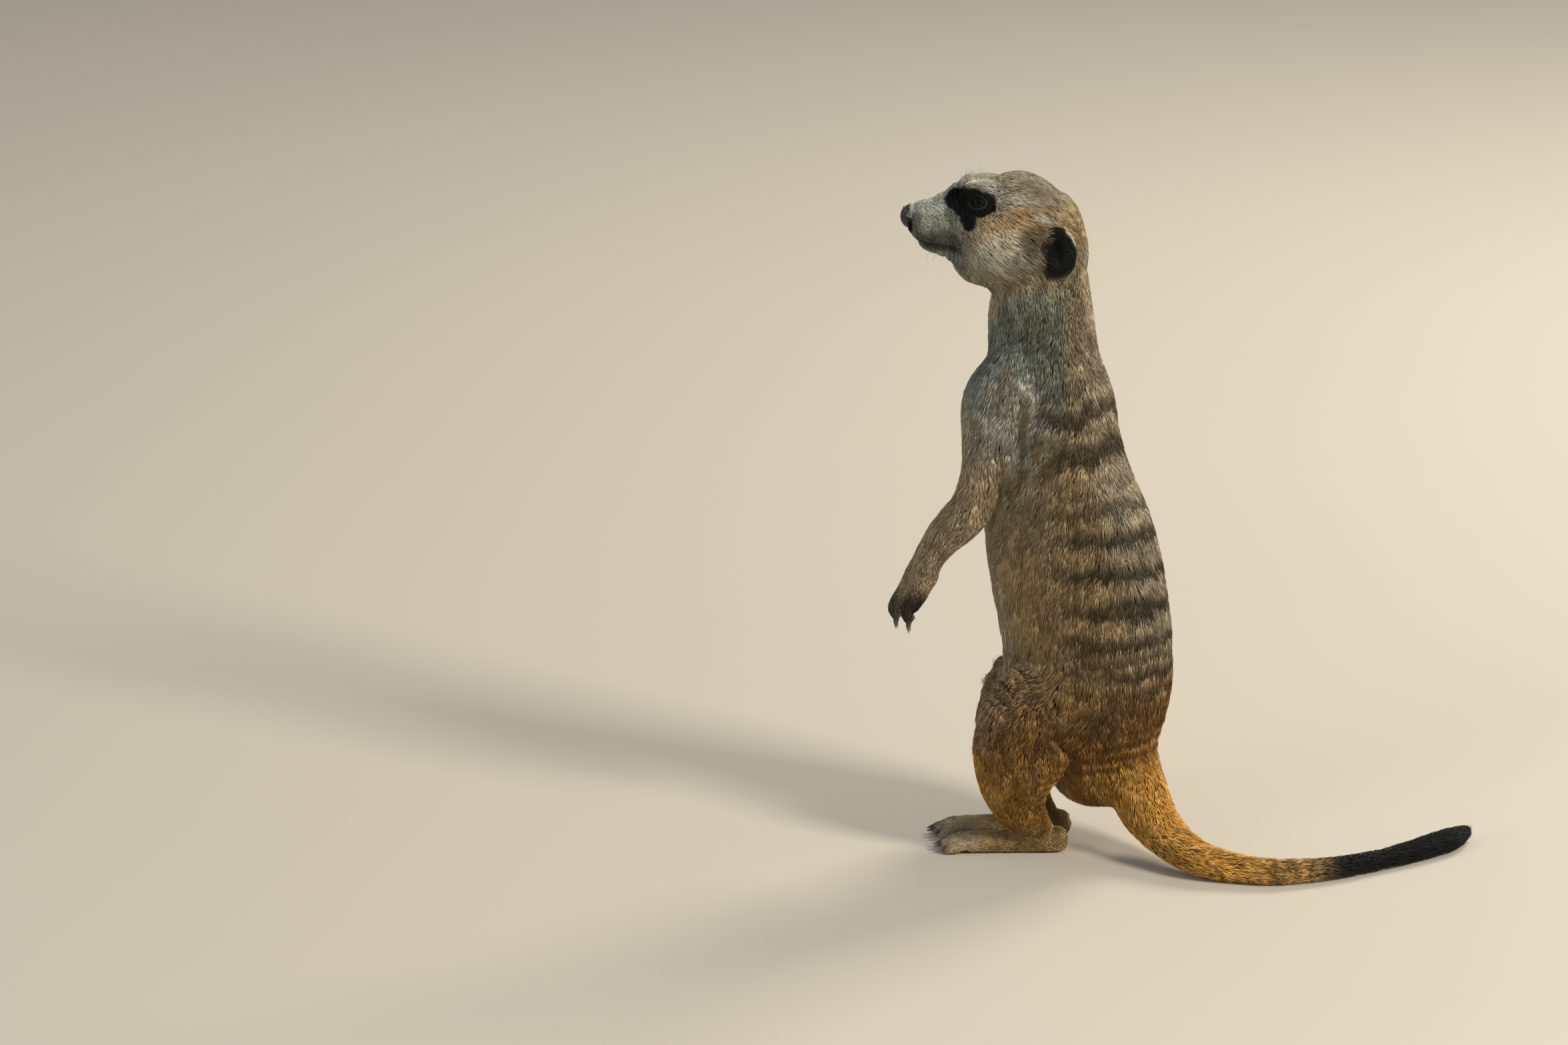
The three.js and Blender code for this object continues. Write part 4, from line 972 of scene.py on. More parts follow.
def new_piece(name, points, faces, material, fields=None, uv=None):
    """An object from points in the body's frame, with per-point fields and a map, if given."""
    me = bpy.data.meshes.new(name)
    me.vertices.add(len(points))
    me.vertices.foreach_set("co", ((points - BODY_CENTRE) * MM).astype(np.float32).ravel())
    size = faces.shape[1]
    me.loops.add(faces.size)
    me.loops.foreach_set("vertex_index", faces.astype(np.int32).ravel())
    me.polygons.add(len(faces))
    me.polygons.foreach_set("loop_start", np.arange(len(faces), dtype=np.int32) * size)
    me.update(calc_edges=True)
    me.polygons.foreach_set("use_smooth", np.ones(len(faces), bool))
    for key, values in (fields or {}).items():
        layer = me.attributes.new(key, "FLOAT_VECTOR", "POINT")
        layer.data.foreach_set("vector", np.asarray(values, np.float32).ravel())
    if uv is not None:
        layer = me.uv_layers.new(name="OFBake")
        layer.uv.foreach_set("vector", np.asarray(uv[faces.ravel()], np.float32).ravel())
    me.materials.append(material)
    piece = bpy.data.objects.new(name, me)
    bpy.context.scene.collection.objects.link(piece)
    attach(piece, "root")
    return piece


def mesh_arrays(name):
    """A piece's points in the body's frame, and its triangles."""
    me = bpy.data.objects[name].data
    me.calc_loop_triangles()
    points = np.empty(len(me.vertices) * 3, np.float32)
    me.vertices.foreach_get("co", points)
    faces = np.empty(len(me.loop_triangles) * 3, np.int32)
    me.loop_triangles.foreach_get("vertices", faces)
    return points.reshape(-1, 3) / MM + BODY_CENTRE, faces.reshape(-1, 3)


# ---- Materials ----
class Wire:
    """A shader socket that Python's operators work on: each one adds a Math node."""

    def __init__(self, look, socket):
        self.look, self.socket = look, socket

    def maths(self, operation, *values):
        return self.look.node("ShaderNodeMath", {"operation": operation}, dict(enumerate(values)))

    def __add__(self, other):
        return self.maths("ADD", self, other)

    def __sub__(self, other):
        return self.maths("SUBTRACT", self, other)

    def __rsub__(self, other):
        return self.maths("SUBTRACT", other, self)

    def __mul__(self, other):
        return self.maths("MULTIPLY", self, other)

    def __truediv__(self, other):
        return self.maths("DIVIDE", self, other)

    def __pow__(self, other):
        return self.maths("POWER", self, other)

    def __lt__(self, other):
        return self.maths("LESS_THAN", self, other)

    __radd__, __rmul__ = __add__, __mul__

    def ramp(self, low, high):
        """0 at low and 1 at high, smooth between."""
        settings = {"interpolation_type": "SMOOTHSTEP"}
        return self.look.node("ShaderNodeMapRange", settings, {0: self, 1: low, 2: high})


class Look:
    """A material and its nodes."""

    def __init__(self, name, **constants):
        self.material = bpy.data.materials.new(name)
        self.material.use_nodes = True
        self.tree = self.material.node_tree
        self.shader = self.tree.nodes["Principled BSDF"]
        for key, value in constants.items():
            self.shader.inputs[key.replace("_", " ")].default_value = value

    def node(self, kind, settings, sockets, output=0):
        """Any node: its settings first, then its sockets' values or links."""
        made = self.tree.nodes.new(kind)
        for key, value in settings.items():
            setattr(made, key, value)
        for key, value in sockets.items():
            if isinstance(value, Wire):
                self.tree.links.new(value.socket, made.inputs[key])
            else:
                made.inputs[key].default_value = value
        return Wire(self, made.outputs[output])

    def field(self, name):
        """The three numbers that a piece carries under this name at each of its points."""
        vector = self.node("ShaderNodeAttribute", {"attribute_name": name}, {}, "Vector")
        return [self.node("ShaderNodeSeparateXYZ", {}, {0: vector}, k) for k in range(3)]

    def place(self):
        return self.node("ShaderNodeTexCoord", {}, {}, "Object")

    def noise(self, scale, detail=2.0, vector=None):
        sockets = {"Vector": vector or self.place(), "Scale": scale, "Detail": detail}
        return self.node("ShaderNodeTexNoise", {}, sockets, "Fac")

    def mix(self, share, a, b):
        """Colour a turned to colour b by a share in 0..1."""
        return self.node("ShaderNodeMix", {"data_type": "RGBA"}, {0: share, 6: a, 7: b}, 2)

    def scaled(self, colour, by):
        return self.node("ShaderNodeVectorMath", {"operation": "SCALE"}, {0: colour, 3: by})

    def wear(self, **sockets):
        for key, wire in sockets.items():
            self.tree.links.new(wire.socket, self.shader.inputs[key.replace("_", " ")])

    def bump(self, height, distance, strength):
        sockets = {"Height": height, "Distance": distance, "Strength": strength}
        return self.node("ShaderNodeBump", {}, sockets)


def coat_colour(look, colours):
    """The ground colour turned to each marking's colour in turn, by the shares the piece carries."""
    stripe_and_shade, rufous, black = look.field("marks")
    cream, grey, orange = look.field("shades")
    colour = look.mix(rufous, rgba(colours.ground), rgba(colours.rufous))
    colour = look.mix(grey, colour, rgba(colours.grey))
    colour = look.mix(orange, colour, rgba(colours.orange))
    colour = look.mix(cream, colour, rgba(colours.cream))
    # The bands' share also holds the painted shade.
    colour = look.mix(stripe_and_shade, colour, rgba(colours.stripe_and_shade))
    return look.mix(black, colour, rgba(colours.black)), black


def rgba(colour):
    return (*colour, 1.0)


def coat_material(colours):
    """Tufts: dark at the root, lighter along, each with a tone of its own and dark or pale tips."""
    look = Look("coat", Specular_IOR_Level=0.12)
    colour, black = coat_colour(look, colours)
    along, tone, clump = look.field("hair")
    tipped = (tone.ramp(0.62, 0.75) - tone.ramp(0.8, 0.9)) * along.ramp(0.4, 0.9) * (1 - black)
    colour = look.mix(tipped * 0.45, colour, rgba(colours.stripe_and_shade))
    frosted = tone.ramp(0.86, 0.94) * along.ramp(0.3, 0.9) * (1 - black)
    colour = look.mix(frosted * 0.42, colour, rgba(colours.cream))
    # Darker towards the root: partly the hair's own dark base, partly painted shade deep in the coat.
    light = (0.72 + 0.36 * along) * (0.76 + 0.48 * tone) * (0.8 + 0.4 * clump)
    look.wear(Base_Color=look.scaled(colour, light), Roughness=0.86 - 0.2 * along * black)
    return look.material


def skin_material(colours):
    """The skin under the coat: the same markings, darker, with a nap of short hair."""
    look = Look("skin", Specular_IOR_Level=0.22)
    colour, black = coat_colour(look, colours)
    nap = look.noise(2600.0, 3.0)
    patch = look.noise(340.0)
    colour = look.scaled(colour, (0.62 + 0.4 * nap) * (0.84 + 0.32 * patch))
    look.wear(Base_Color=colour, Roughness=0.86 - 0.2 * black, Normal=look.bump(nap, 0.0006, 0.6))
    return look.material


def nose_material(colours):
    """Bare black leather: small pebbles, a damp gloss."""
    look = Look("nose_leather", Specular_IOR_Level=0.5, Coat_Roughness=0.25)
    pebbles = look.node("ShaderNodeTexVoronoi", {"feature": "F1"},
                        {"Vector": look.place(), "Scale": 1700.0}, "Distance")
    worn = look.noise(500.0)
    colour = look.mix(worn.ramp(0.35, 0.7), rgba(colours.black), rgba(colours.nose))
    look.wear(Base_Color=colour, Roughness=0.34 + 0.25 * worn, Coat_Weight=0.35 * worn,
              Normal=look.bump(1 - pebbles, 0.0004, 0.7))
    return look.material


def eye_material(settings):
    """A dark eye: a wide pupil, a brown iris with fine spokes, a dark rim, all under a clear gloss."""
    look = Look("eye", Coat_Weight=0.13, Coat_Roughness=0.03, Specular_IOR_Level=0.04)
    along, up, front = look.field("gaze")
    wide = (along / settings.pupil_width) ** 2 + (up / settings.pupil_height) ** 2
    out = (along * along + up * up) ** 0.5
    round_eye = look.node("ShaderNodeCombineXYZ", {}, {0: along / out, 1: up / out, 2: out * 0.12})
    spokes = look.noise(38.0, 3.0, round_eye)
    iris = look.mix(spokes.ramp(0.35, 0.7), rgba(settings.iris), rgba(settings.iris_light))
    iris = look.mix(out.ramp(0.52, 0.68), iris, rgba(settings.rim))
    iris = look.mix(wide.ramp(1.25, 0.9), iris, rgba(settings.pupil))
    white = look.mix(look.noise(900.0).ramp(0.3, 0.8), rgba(settings.white), rgba(settings.rim))
    colour = look.mix(((front < 0.0) + out.ramp(0.7, 0.76)).ramp(0.0, 1.0), iris, white)
    look.wear(Base_Color=colour, Roughness=0.2 + 0.2 * spokes)
    return look.material


def claw_material(colours):
    """Horn: dark at the base and paler at the worn tip, with fine grain along it."""
    look = Look("claw_horn", Specular_IOR_Level=0.5)
    along, _, _ = look.field("hair")
    grain = look.noise(900.0, 3.0)
    colour = look.mix((along + 0.3 * grain).ramp(0.5, 1.2), rgba(colours.claw), rgba(colours.claw_tip))
    look.wear(Base_Color=colour, Roughness=0.36 + 0.24 * grain, Normal=look.bump(grain, 0.0002, 0.35))
    return look.material


def floor_material(settings):
    look = Look("studio_floor", Specular_IOR_Level=0.2)
    tint = look.noise(3.0)
    dark = tuple(0.97 * c for c in settings.floor)
    look.wear(Base_Color=look.mix(tint, rgba(settings.floor), rgba(dark)), Roughness=0.85 + 0.1 * tint)
    return look.material


# ---- Settings ----
def colour_setting(name, description, default):
    return bpy.props.FloatVectorProperty(name=name, description=description, default=default, size=3,
                                         min=0.0, max=1.0, subtype="COLOR")


def length_setting(name, description, default):
    return bpy.props.FloatProperty(name=name, description=description, default=default, min=0.0,
                                   subtype="DISTANCE", unit="LENGTH")


def share_setting(name, description, default):
    return bpy.props.FloatProperty(name=name, description=description, default=default, min=0.0,
                                   subtype="FACTOR")


class MeerkatColours(bpy.types.PropertyGroup):
    """Colours of the coat and the bare parts, linear."""

    ground: colour_setting("Ground", "Buff fur between the bands", (0.52, 0.375, 0.195))
    rufous: colour_setting("Rufous", "Warm brown fur of the flanks and legs", (0.4, 0.19, 0.045))
    grey: colour_setting("Grey", "Cool grey fur of the shoulders and crown", (0.215, 0.275, 0.24))
    cream: colour_setting("Cream", "Pale fur of the brow, cheeks and toes", (0.64, 0.64, 0.56))
    # Also the colour of the painted shade over the shoulders, neck sides, hips, behind the arms, under the
    # jaw and between the ruff's locks.
    stripe_and_shade: colour_setting("Bands", "Dark brown bands over the back", (0.03, 0.023, 0.015))
    orange: colour_setting("Tail", "Orange fur of the tail", (0.88, 0.46, 0.08))
    black: colour_setting("Black", "Eye patches, ears, hands and tail tip", (0.011, 0.013, 0.012))
    nose: colour_setting("Nose", "Bare leather of the nose", (0.03, 0.027, 0.026))
    claw: colour_setting("Claws", "Horn at the claw's base", (0.035, 0.03, 0.024))
    claw_tip: colour_setting("Claw tips", "Horn at the claw's worn tip", (0.22, 0.18, 0.13))


class MeerkatCoat(bpy.types.PropertyGroup):
    """Sizes of the tufts."""

    length: share_setting("Length", "Tuft length, as a share of the life size", 1.0)
    width: share_setting("Width", "Tuft width, as a share of the life size", 1.0)
    density: share_setting("Density", "Tufts per area, as a share of the full coat", 1.0)
    sway: bpy.props.FloatProperty(name="Sway", description="How far locks turn from the coat's lie",
                                  default=0.42, min=0.0, subtype="ANGLE", unit="ROTATION")
    clump: length_setting("Lock width", "How wide a lock of tufts is", 0.0042)
    gather: share_setting("Gather", "How far tips are drawn to their lock's middle", 0.34)


class MeerkatEye(bpy.types.PropertyGroup):
    """The eyes' colours, and the pupil's size as shares of the eye's radius."""

    iris: colour_setting("Iris", "Dark part of the iris", (0.006, 0.003, 0.002))
    iris_light: colour_setting("Iris spokes", "Light part of the iris", (0.016, 0.008, 0.004))
    rim: colour_setting("Rim", "Dark ring round the iris", (0.008, 0.006, 0.005))
    pupil: colour_setting("Pupil", "The pupil", (0.002, 0.002, 0.002))
    white: colour_setting("Eye white", "The eye beyond the iris", (0.006, 0.005, 0.004))
    pupil_width: share_setting("Pupil width", "Half the pupil's width", 0.4)
    pupil_height: share_setting("Pupil height", "Half the pupil's height", 0.24)


class MeerkatStage(bpy.types.PropertyGroup):
    """Floor, lights and camera."""

    floor: colour_setting("Floor", "The pale floor", (0.62, 0.56, 0.46))
    key_power: bpy.props.FloatProperty(name="Key light", description="Warm light from behind and above",
                                       default=50.0, min=0.0, subtype="POWER", unit="POWER")
    fill_power: bpy.props.FloatProperty(name="Fill light", description="Soft light from the front",
                                        default=7.0, min=0.0, subtype="POWER", unit="POWER")
    sky: bpy.props.FloatProperty(name="Sky", description="Strength of the even light", default=0.36, min=0.0)
    focal_length: bpy.props.FloatProperty(name="Focal length", description="The camera's focal length, in mm",
                                          default=200.0, min=1.0, subtype="DISTANCE_CAMERA")


# ---- Pieces ----
def stepped(*stops):
    """Grid places: (start, spacing) rows, the last with its end in place of a spacing."""
    return np.concatenate([np.arange(a, b, size) for (a, size), (b, _) in zip(stops, stops[1:])]
                          + [[stops[-1][0]]])


SKIN_GRID = (
    stepped((-80, 0.85), (-18, 1.4), (176, 0)),
    stepped((-76, 1.4), (-18, 1.05), (26, 1.4), (44, 0)),
    stepped((-3, 1.4), (236, 0.85), (298, 0)),
)


def as_fields(marks):
    """The markings as the two fields that the materials read."""
    return {"marks": marks[:, :3], "shades": marks[:, 3:]}


def painted(points):
    found = survey(points.astype(np.float32))
    return as_fields(markings(points, found, shares_of(found)))


def build_skin(colours):
    """The body's zero surface on one grid, settled onto the field, with the markings at its points."""
    points, quads = surface_net(body_distance, SKIN_GRID)
    points = settle(points, quads, body_distance, 2)
    points[:, 2] = np.maximum(points[:, 2], FLOOR)
    piece = new_piece("skin", points, as_triangles(quads), skin_material(colours), painted(points))
    single = ("head", "jaw", "neck", "chest", "loin", "rump", "tail_root", "tail_middle", "tail_end",
              "tail_tip")
    paired = ("ear_", "upper_arm_", "forearm_", "hand_", "thigh_", "shank_", "foot_")
    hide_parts(*single, *(part + side for side in SIDES for part in paired))


FINE_CELL = 0.42  # the grain of the lids and the nose pad, in mm
PROUD = 0.1  # how far these stand over the skin
LID_CAP = 7.8  # the lids' cap reaches this far from the eye's middle
LID_BOX = LID_CAP + 0.8
NOSE_OVERLAP = 1.1  # how far the nose pad goes into the muzzle
NOSE_BOX = ((-45, -9, -4), (-34, 9, 15))  # in the head's frame


def fine_patch(name, box, keep, material):
    """A closed cap of the head at a finer grain: the fine head field, kept within another field."""

    def field(p):
        return np.maximum(head_distance(p, fine=True)[0] - PROUD, keep(p))

    axes = [np.arange(a, b, FINE_CELL) for a, b in zip(*box)]
    values = field(grid_points(axes)).reshape([len(a) for a in axes])
    points, quads = net_of(values, axes)
    points = settle(points, quads, field, 2)
    return new_piece(name, points, as_triangles(quads), material, painted(points))


def eye_frame(side):
    """An eye's middle, and the ways it faces, lies along and stands up."""
    turn = np.array((1, -1 if side == "left" else 1, 1))
    look = unit(np.array(EYE_LOOK) * turn)
    along = unit(np.cross((0, 0, 1), look))
    return HEAD + np.array(EYE_AT) * turn, look, along, np.cross(look, along)


def build_lids(colours):
    """The lids round each eye, as a fine cap of the head that plugs the skin's socket."""
    material = skin_material(colours)
    for side in SIDES:
        middle = eye_frame(side)[0]
        piece = fine_patch("lids_" + side, (middle - LID_BOX, middle + LID_BOX),
                           lambda p, m=middle: np.linalg.norm(p - m, axis=1) - LID_CAP, material)


def build_nose(colours):
    """The nose pad: the muzzle's end at a fine grain, with nostrils and a groove down the middle."""
    cut = HEAD[0] + NOSE_CUT + NOSE_OVERLAP
    material = nose_material(colours)
    piece = fine_patch("nose_pad", HEAD + np.array(NOSE_BOX), lambda p: p[:, 0] - cut, material)
    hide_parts("nose")


EYE_RINGS, EYE_SIDES = 49, 64
CORNEA, CORNEA_SPREAD = 0.05, 0.5  # its height as a share of the radius, and its spread in radians


def build_eyes(settings):
    """Each eye is a ball turned from a profile, with the cornea's slight bulge in front."""
    material = eye_material(settings)
    for side in SIDES:
        middle, look, along, up = eye_frame(side)
        angle = np.linspace(np.pi, 0, EYE_RINGS)
        radius = EYE_RADIUS * (1 + CORNEA * np.exp(-((angle / CORNEA_SPREAD) ** 2)))
        profile = np.stack((radius * np.sin(angle), radius * np.cos(angle)), 1)
        points, faces = revolve(profile, EYE_SIDES, middle, look, (0, 0, 1))
        way = (points - middle) / EYE_RADIUS
        gaze = np.stack((way @ along, way @ up, way @ look), 1)
        piece = new_piece("eyeball_" + side, points, faces, material, {"gaze": gaze})
        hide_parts("eye_" + side)


CLAWS = {  # radius at the base; the start is an offset from the digit's last row
    "hand": {"length": 6.4, "radius": 1.173, "along": (-0.3, 0, -1), "curl": (0.3, 0, 0),
             "start": (0.2, 0, -0.46)},
    "foot": {"length": 4.4, "radius": 1.122, "along": (-1, 0, 0.05), "curl": (0, 0, -0.3),
             "start": (-0.65, 0, 0.9)},
}
CLAW_RINGS, CLAW_SIDES = 15, 14
CLAW_TAPER, CLAW_FLAT = 0.7, 0.85  # power that the radius falls by, and height as a share of the width


def claw_start(kind, side, s):
    row = finger_rows(HANDS[side], s)[-1] if kind == "hand" else toe_rows(FEET[side], s)[0]
    return np.array(row[:3]) + CLAWS[kind]["start"]


def build_claws(colours):
    """Curved cones: start + length (t along + t^2 curl), with a radius that falls to a point."""
    material = claw_material(colours)
    t = np.linspace(0, 1, CLAW_RINGS)
    share = np.concatenate((np.repeat(t[1:-1], CLAW_SIDES), t[[0, -1]]))
    hair = np.stack((share, share, share), 1)
    for kind, claw in CLAWS.items():
        way = unit(np.array(claw["along"], float))
        bend = claw["length"] * (t[:, None] * way + t[:, None] ** 2 * np.array(claw["curl"]))
        radius = claw["radius"] * (1 - t) ** CLAW_TAPER
        for side in SIDES:
            for i, s in enumerate(DIGITS, 1):
                path = claw_start(kind, side, s) + bend
                points, faces = carry(path[None], radius[None], CLAW_SIDES, CLAW_FLAT)
                points[:, 2] = np.maximum(points[:, 2], FLOOR)
                piece = new_piece(f"horn_{kind}_{side}_{i}", points, faces, material, {"hair": hair})
                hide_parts(f"claw_{kind}_{side}_{i}")


# ---- The coat ----
LONG_FROM = 2.2  # tufts from this length, in mm, are bent spikes, and shorter ones straight
PATCH = 0.003  # how wide a tuft's own patch of the map is
MARGIN = 0.01  # how much of the map stays empty at each edge
SUNK = 0.35  # how far a tuft's root is under the skin, in mm
SHOWN = 0.45  # how far along a tuft is the middle of what its neighbours leave to be seen
RING = ((-0.5, 0), (0.5, 0), (0, 0.42))  # corners of a tuft's section: across, and out from the skin
# A tuft's triangles, its points' spots on its patch of the map, and how far along it each point is.
LONG = {
    "faces": np.array(((0, 2, 1), (0, 3, 2), (0, 1, 3), (4, 1, 2), (4, 2, 3), (4, 3, 1))),
    "spots": np.array(((0, -0.5), (-0.5, 0), (0.5, 0), (0, 0.14), (0, 0.5))),
    "run": (0, 0.45, 0.45, 0.45, 1),
}
SHORT = {
    "faces": np.array(((0, 2, 1), (0, 1, 3), (1, 2, 3), (2, 0, 3))),
    "spots": np.array(((-0.5, -0.5), (0.5, -0.5), (0, -0.3), (0, 0.5))),
    "run": (0.2, 0.2, 0.2, 1),
}
NOSE_HEIGHT = 20  # nothing further than this from the head's height, in mm, counts as the nose
SOLE_HEIGHT = 1.6  # skin that faces down is bare below this height
LID_EDGE = 0.5  # how wide the bare edge of the lids is
SEAM = (7.6, 7.65)  # from the eye's middle: the skin's coat begins, and the lids' coat ends
SWAY = ((2, 11, 31), (0.8, 3.2, 32))  # noises that turn the tufts: share of the sway, size and seed
JITTER = 0.11  # how far each tuft turns from its neighbours, in radians
LOCK_SHAPE = (1, 1, 0.6)  # locks are taller than they are wide
LOCK_SEED = 33
LOCKS_FROM, LOCKS_FULL = 3, 7  # tufts of these lengths begin to gather into locks, and gather in full
LENGTHS = (0.72, 0.5)  # the shortest tuft as a share of its length, and what the longest adds
WIDTHS = (0.8, 0.4)  # the same for the width
HEIGHTS = (0.84, 0.24, 0.24)  # the lowest tip, and what its lock and its own chance add
MID_PULL, MID_RISE = 0.35, 0.72  # how much of the tip's pull and rise the middle of a tuft has
KNEE = {"lie": 1.6, "shorter": 0.22, "lower": 0.25}  # forward lie over the knees, and what tufts lose


def scatter(points, faces, density, total_scale, rng):
    """Roots spread over triangles: each gets its share of the summed density times area, taken at
    even steps with a little jitter, so that the roots lie evenly. Returns places and normals."""
    a, b, c = (points[faces[:, k]] for k in range(3))
    area = np.linalg.norm(np.cross(b - a, c - a), axis=1) / 2
    heap = np.cumsum(area * density[faces].mean(1)) * total_scale
    count = int(heap[-1])
    pick = np.searchsorted(heap, np.arange(count) + rng.random(count))
    pick = np.minimum(pick, len(faces) - 1)
    u, v = rng.random((2, count, 1))
    over = u + v > 1
    u, v = np.where(over, 1 - u, u), np.where(over, 1 - v, v)
    normals = normals_of(points, faces)
    na, nb, nc = (normals[faces[pick, k]] for k in range(3))
    return a[pick] + u * (b - a)[pick] + v * (c - a)[pick], unit(na + u * (nb - na) + v * (nc - na))


def bald(p, normal):
    """True where no tuft grows: the eyes, the nose pad, and the soles of the feet."""
    q = in_head(p)
    eye = from_slit(q, np.array(LID_SLIT) + LID_EDGE) < 1
    nose = (q[:, 0] < NOSE_CUT - 0.2) & (np.abs(q[:, 2]) < NOSE_HEIGHT)
    return eye | nose | ((p[:, 2] < SOLE_HEIGHT) & (normal[:, 2] < -0.5))


def fine_survey(p):
    return survey(p.astype(np.float32), fine=True)


def roots_of_coat(scale, rng):
    """Roots over the skin and the lids, where the coat grows."""
    roots, normals = [], []
    for name in ("skin", "lids_left", "lids_right"):
        points, faces = mesh_arrays(name)
        density = coat_at(points, fine_survey(points))[4]
        p, n = scatter(points, faces, density, scale, rng)
        from_eye = np.linalg.norm(in_head(p) - np.array(EYE_AT), axis=1)
        keep = ~bald(p, n) & ((from_eye > SEAM[0]) if name == "skin" else (from_eye < SEAM[1]))
        roots.append(p[keep])
        normals.append(n[keep])
    return np.concatenate(roots), np.concatenate(normals)


def over_knee(p, normal):
    """How much a point is on the top of the knees, where the coat runs forward."""
    return KNEE["lie"] * step(0.05, 0.5, normal[:, 2]) * step(104, 88, p[:, 2]) * step(0, -14, p[:, 0])


def comb(p, normal, facts, settings, rng):
    """Each tuft's line of root, middle and tip. It runs along the coat's lie, turned a little by
    noise, with its tip drawn to its lock's middle, and is then lifted to its height over the skin."""
    lie, length, _, height, *_ = facts
    count = len(p)
    sway = sum(part * settings.sway * (noise(p, size, seed) - 0.5) for part, size, seed in SWAY)
    sway = sway + JITTER * rng.standard_normal(count)
    knee = over_knee(p, normal)
    lie = lie - knee[:, None] * (1, 0, 0)
    flat = unit(lie - normal * (lie * normal).sum(1, keepdims=True))
    side = np.cross(normal, flat)
    way = unit(flat * np.cos(sway)[:, None] + side * np.sin(sway)[:, None])
    length = length * settings.length * (LENGTHS[0] + LENGTHS[1] * rng.random(count))
    length = length * (1 - KNEE["shorter"] * knee)
    middle, number = clumps(p * LOCK_SHAPE, settings.clump / MM, LOCK_SEED)
    to_middle = middle / LOCK_SHAPE - p
    to_middle -= normal * (to_middle * normal).sum(1, keepdims=True)
    to_middle -= way * (to_middle * way).sum(1, keepdims=True)
    long = step(LOCKS_FROM, LOCKS_FULL, length)
    pull = to_middle * (settings.gather * long)[:, None]
    lowest, by_lock, by_chance = HEIGHTS
    rise = height * (lowest + by_lock * number * long + by_chance * rng.random(count))
    rise = rise * (1 - KNEE["lower"] * knee)
    # Each half follows the skin's bend, the second turned from the first as the first is from the root.
    half = 0.5 * length[:, None]
    mid = p + way * half
    mid -= normal * np.clip(fine_survey(mid)["whole"], -half[:, 0], half[:, 0])[:, None]
    first = unit(mid - p)
    turned = unit(2 * (way * first).sum(1, keepdims=True) * first - way)
    second = 2 * (first * turned).sum(1, keepdims=True) * turned - first
    out = unit(normal - second * (normal * second).sum(1, keepdims=True))
    tip = mid + second * half + pull
    off = rise - fine_survey(tip)["whole"]
    tip += out * np.clip(off, -half[:, 0], half[:, 0])[:, None]
    # Where the tip had to move far, the tuft is shortened.
    tip += (mid - tip) * (0.5 * step(0.3, 0.6, np.abs(off) / length))[:, None]
    mid += MID_PULL * pull + unit(normal + out) * (MID_RISE * rise)[:, None]
    for point in (mid, tip):
        point[:, 2] = np.maximum(point[:, 2], FLOOR + 0.2)
    return way, mid, tip, number


def spikes(centre, ends, normal, way, width):
    """Closed three-sided spikes: a ring of three points round a centre, and the given end points."""
    side = np.cross(normal, way)
    ring = [centre + (side * a + normal * b) * width[:, None] for a, b in RING]
    return np.stack((*ends[:-1], *ring, ends[-1]), 1)


TICKED = 0.7  # how much of the bands' colour a dark tuft has
ON_HEAD = ("face", "crown", "ears")
ON_TRUNK = ("neck", "back_left", "back_right", "belly_left", "belly_right")
PIECES = (*ON_HEAD, *ON_TRUNK, *FORMS[2:], "hands", "feet")
NECK_FROM = 203  # the neck's piece begins at this height


def part_of_coat(p, found, share):
    """The name of the piece of coat that each root belongs to."""
    form = share.argmax(1)
    turn = round_trunk(p, found)
    q = in_head(p)
    side = np.where(turn < 0, "_left", "_right")
    name = np.char.add(np.where(np.abs(turn) < 0.5 * np.pi, "back", "belly"), side)
    name = np.where(p[:, 2] > NECK_FROM, "neck", name)
    on_head = np.where(q[:, 0] < 0, "face", np.where(ear_share(q) > 0.5, "ears", "crown"))
    name = np.where(form == FORMS.index("head"), on_head, name)
    for i, limb in enumerate(FORMS[2:], 2):
        name = np.where(form == i, limb, name)
        if KIND[limb] in PAW:
            paw = {"arm": "hands", "leg": "feet"}[KIND[limb]]
            name = np.where((form == i) & (paw_share(p, limb) > 0.5), paw, name)
    return name


def unwrapped(p, found, piece):
    """Where each root lies on a piece's unwrap: how far round its form, and how far along it."""
    x, y, z = p.T
    if piece in ON_HEAD:
        q = in_head(p)
        across = np.where(y < HEAD[1], -1, 1) * q[:, 1]
        if piece == "ears":
            return np.arctan2(q[:, 2] - EAR_SHELL[0][2], q[:, 0] - EAR_SHELL[0][0]), across
        return np.arctan2(across, q[:, 2]), q[:, 0]
    if piece in ON_TRUNK:
        turn = round_trunk(p, found)
        return (turn % (2 * np.pi) if piece.startswith("belly") else turn), z
    if piece in ("hands", "feet"):
        return y, (z if piece == "hands" else x)
    path, place = LIMBS[piece][0], found[piece]["place"]
    q = p - along_path(path, "at", place)
    aside, ahead = ((q * along_path(path, key, place)).sum(1) for key in ("side", "front"))
    return np.arctan2(aside, ahead), place


def fitted(place):
    """Map places stretched to fill the image, but for a margin."""
    place = np.stack(place, 1)
    low, high = place.min(0), place.max(0)
    return MARGIN + (1 - 2 * MARGIN) * (place - low) / (high - low)


def tones(root, rng):
    """How light each tuft is, in 0..1: fine and broad streaks down the coat, and chance."""
    streak = noise(root * (1, 1, 0.3), 1.3, 41) + 0.9 * noise(root * (1, 1, 0.4), 4.5, 42) - 0.95
    return np.clip(0.5 + 0.7 * streak + 0.12 * rng.standard_normal(len(root)), 0, 1)


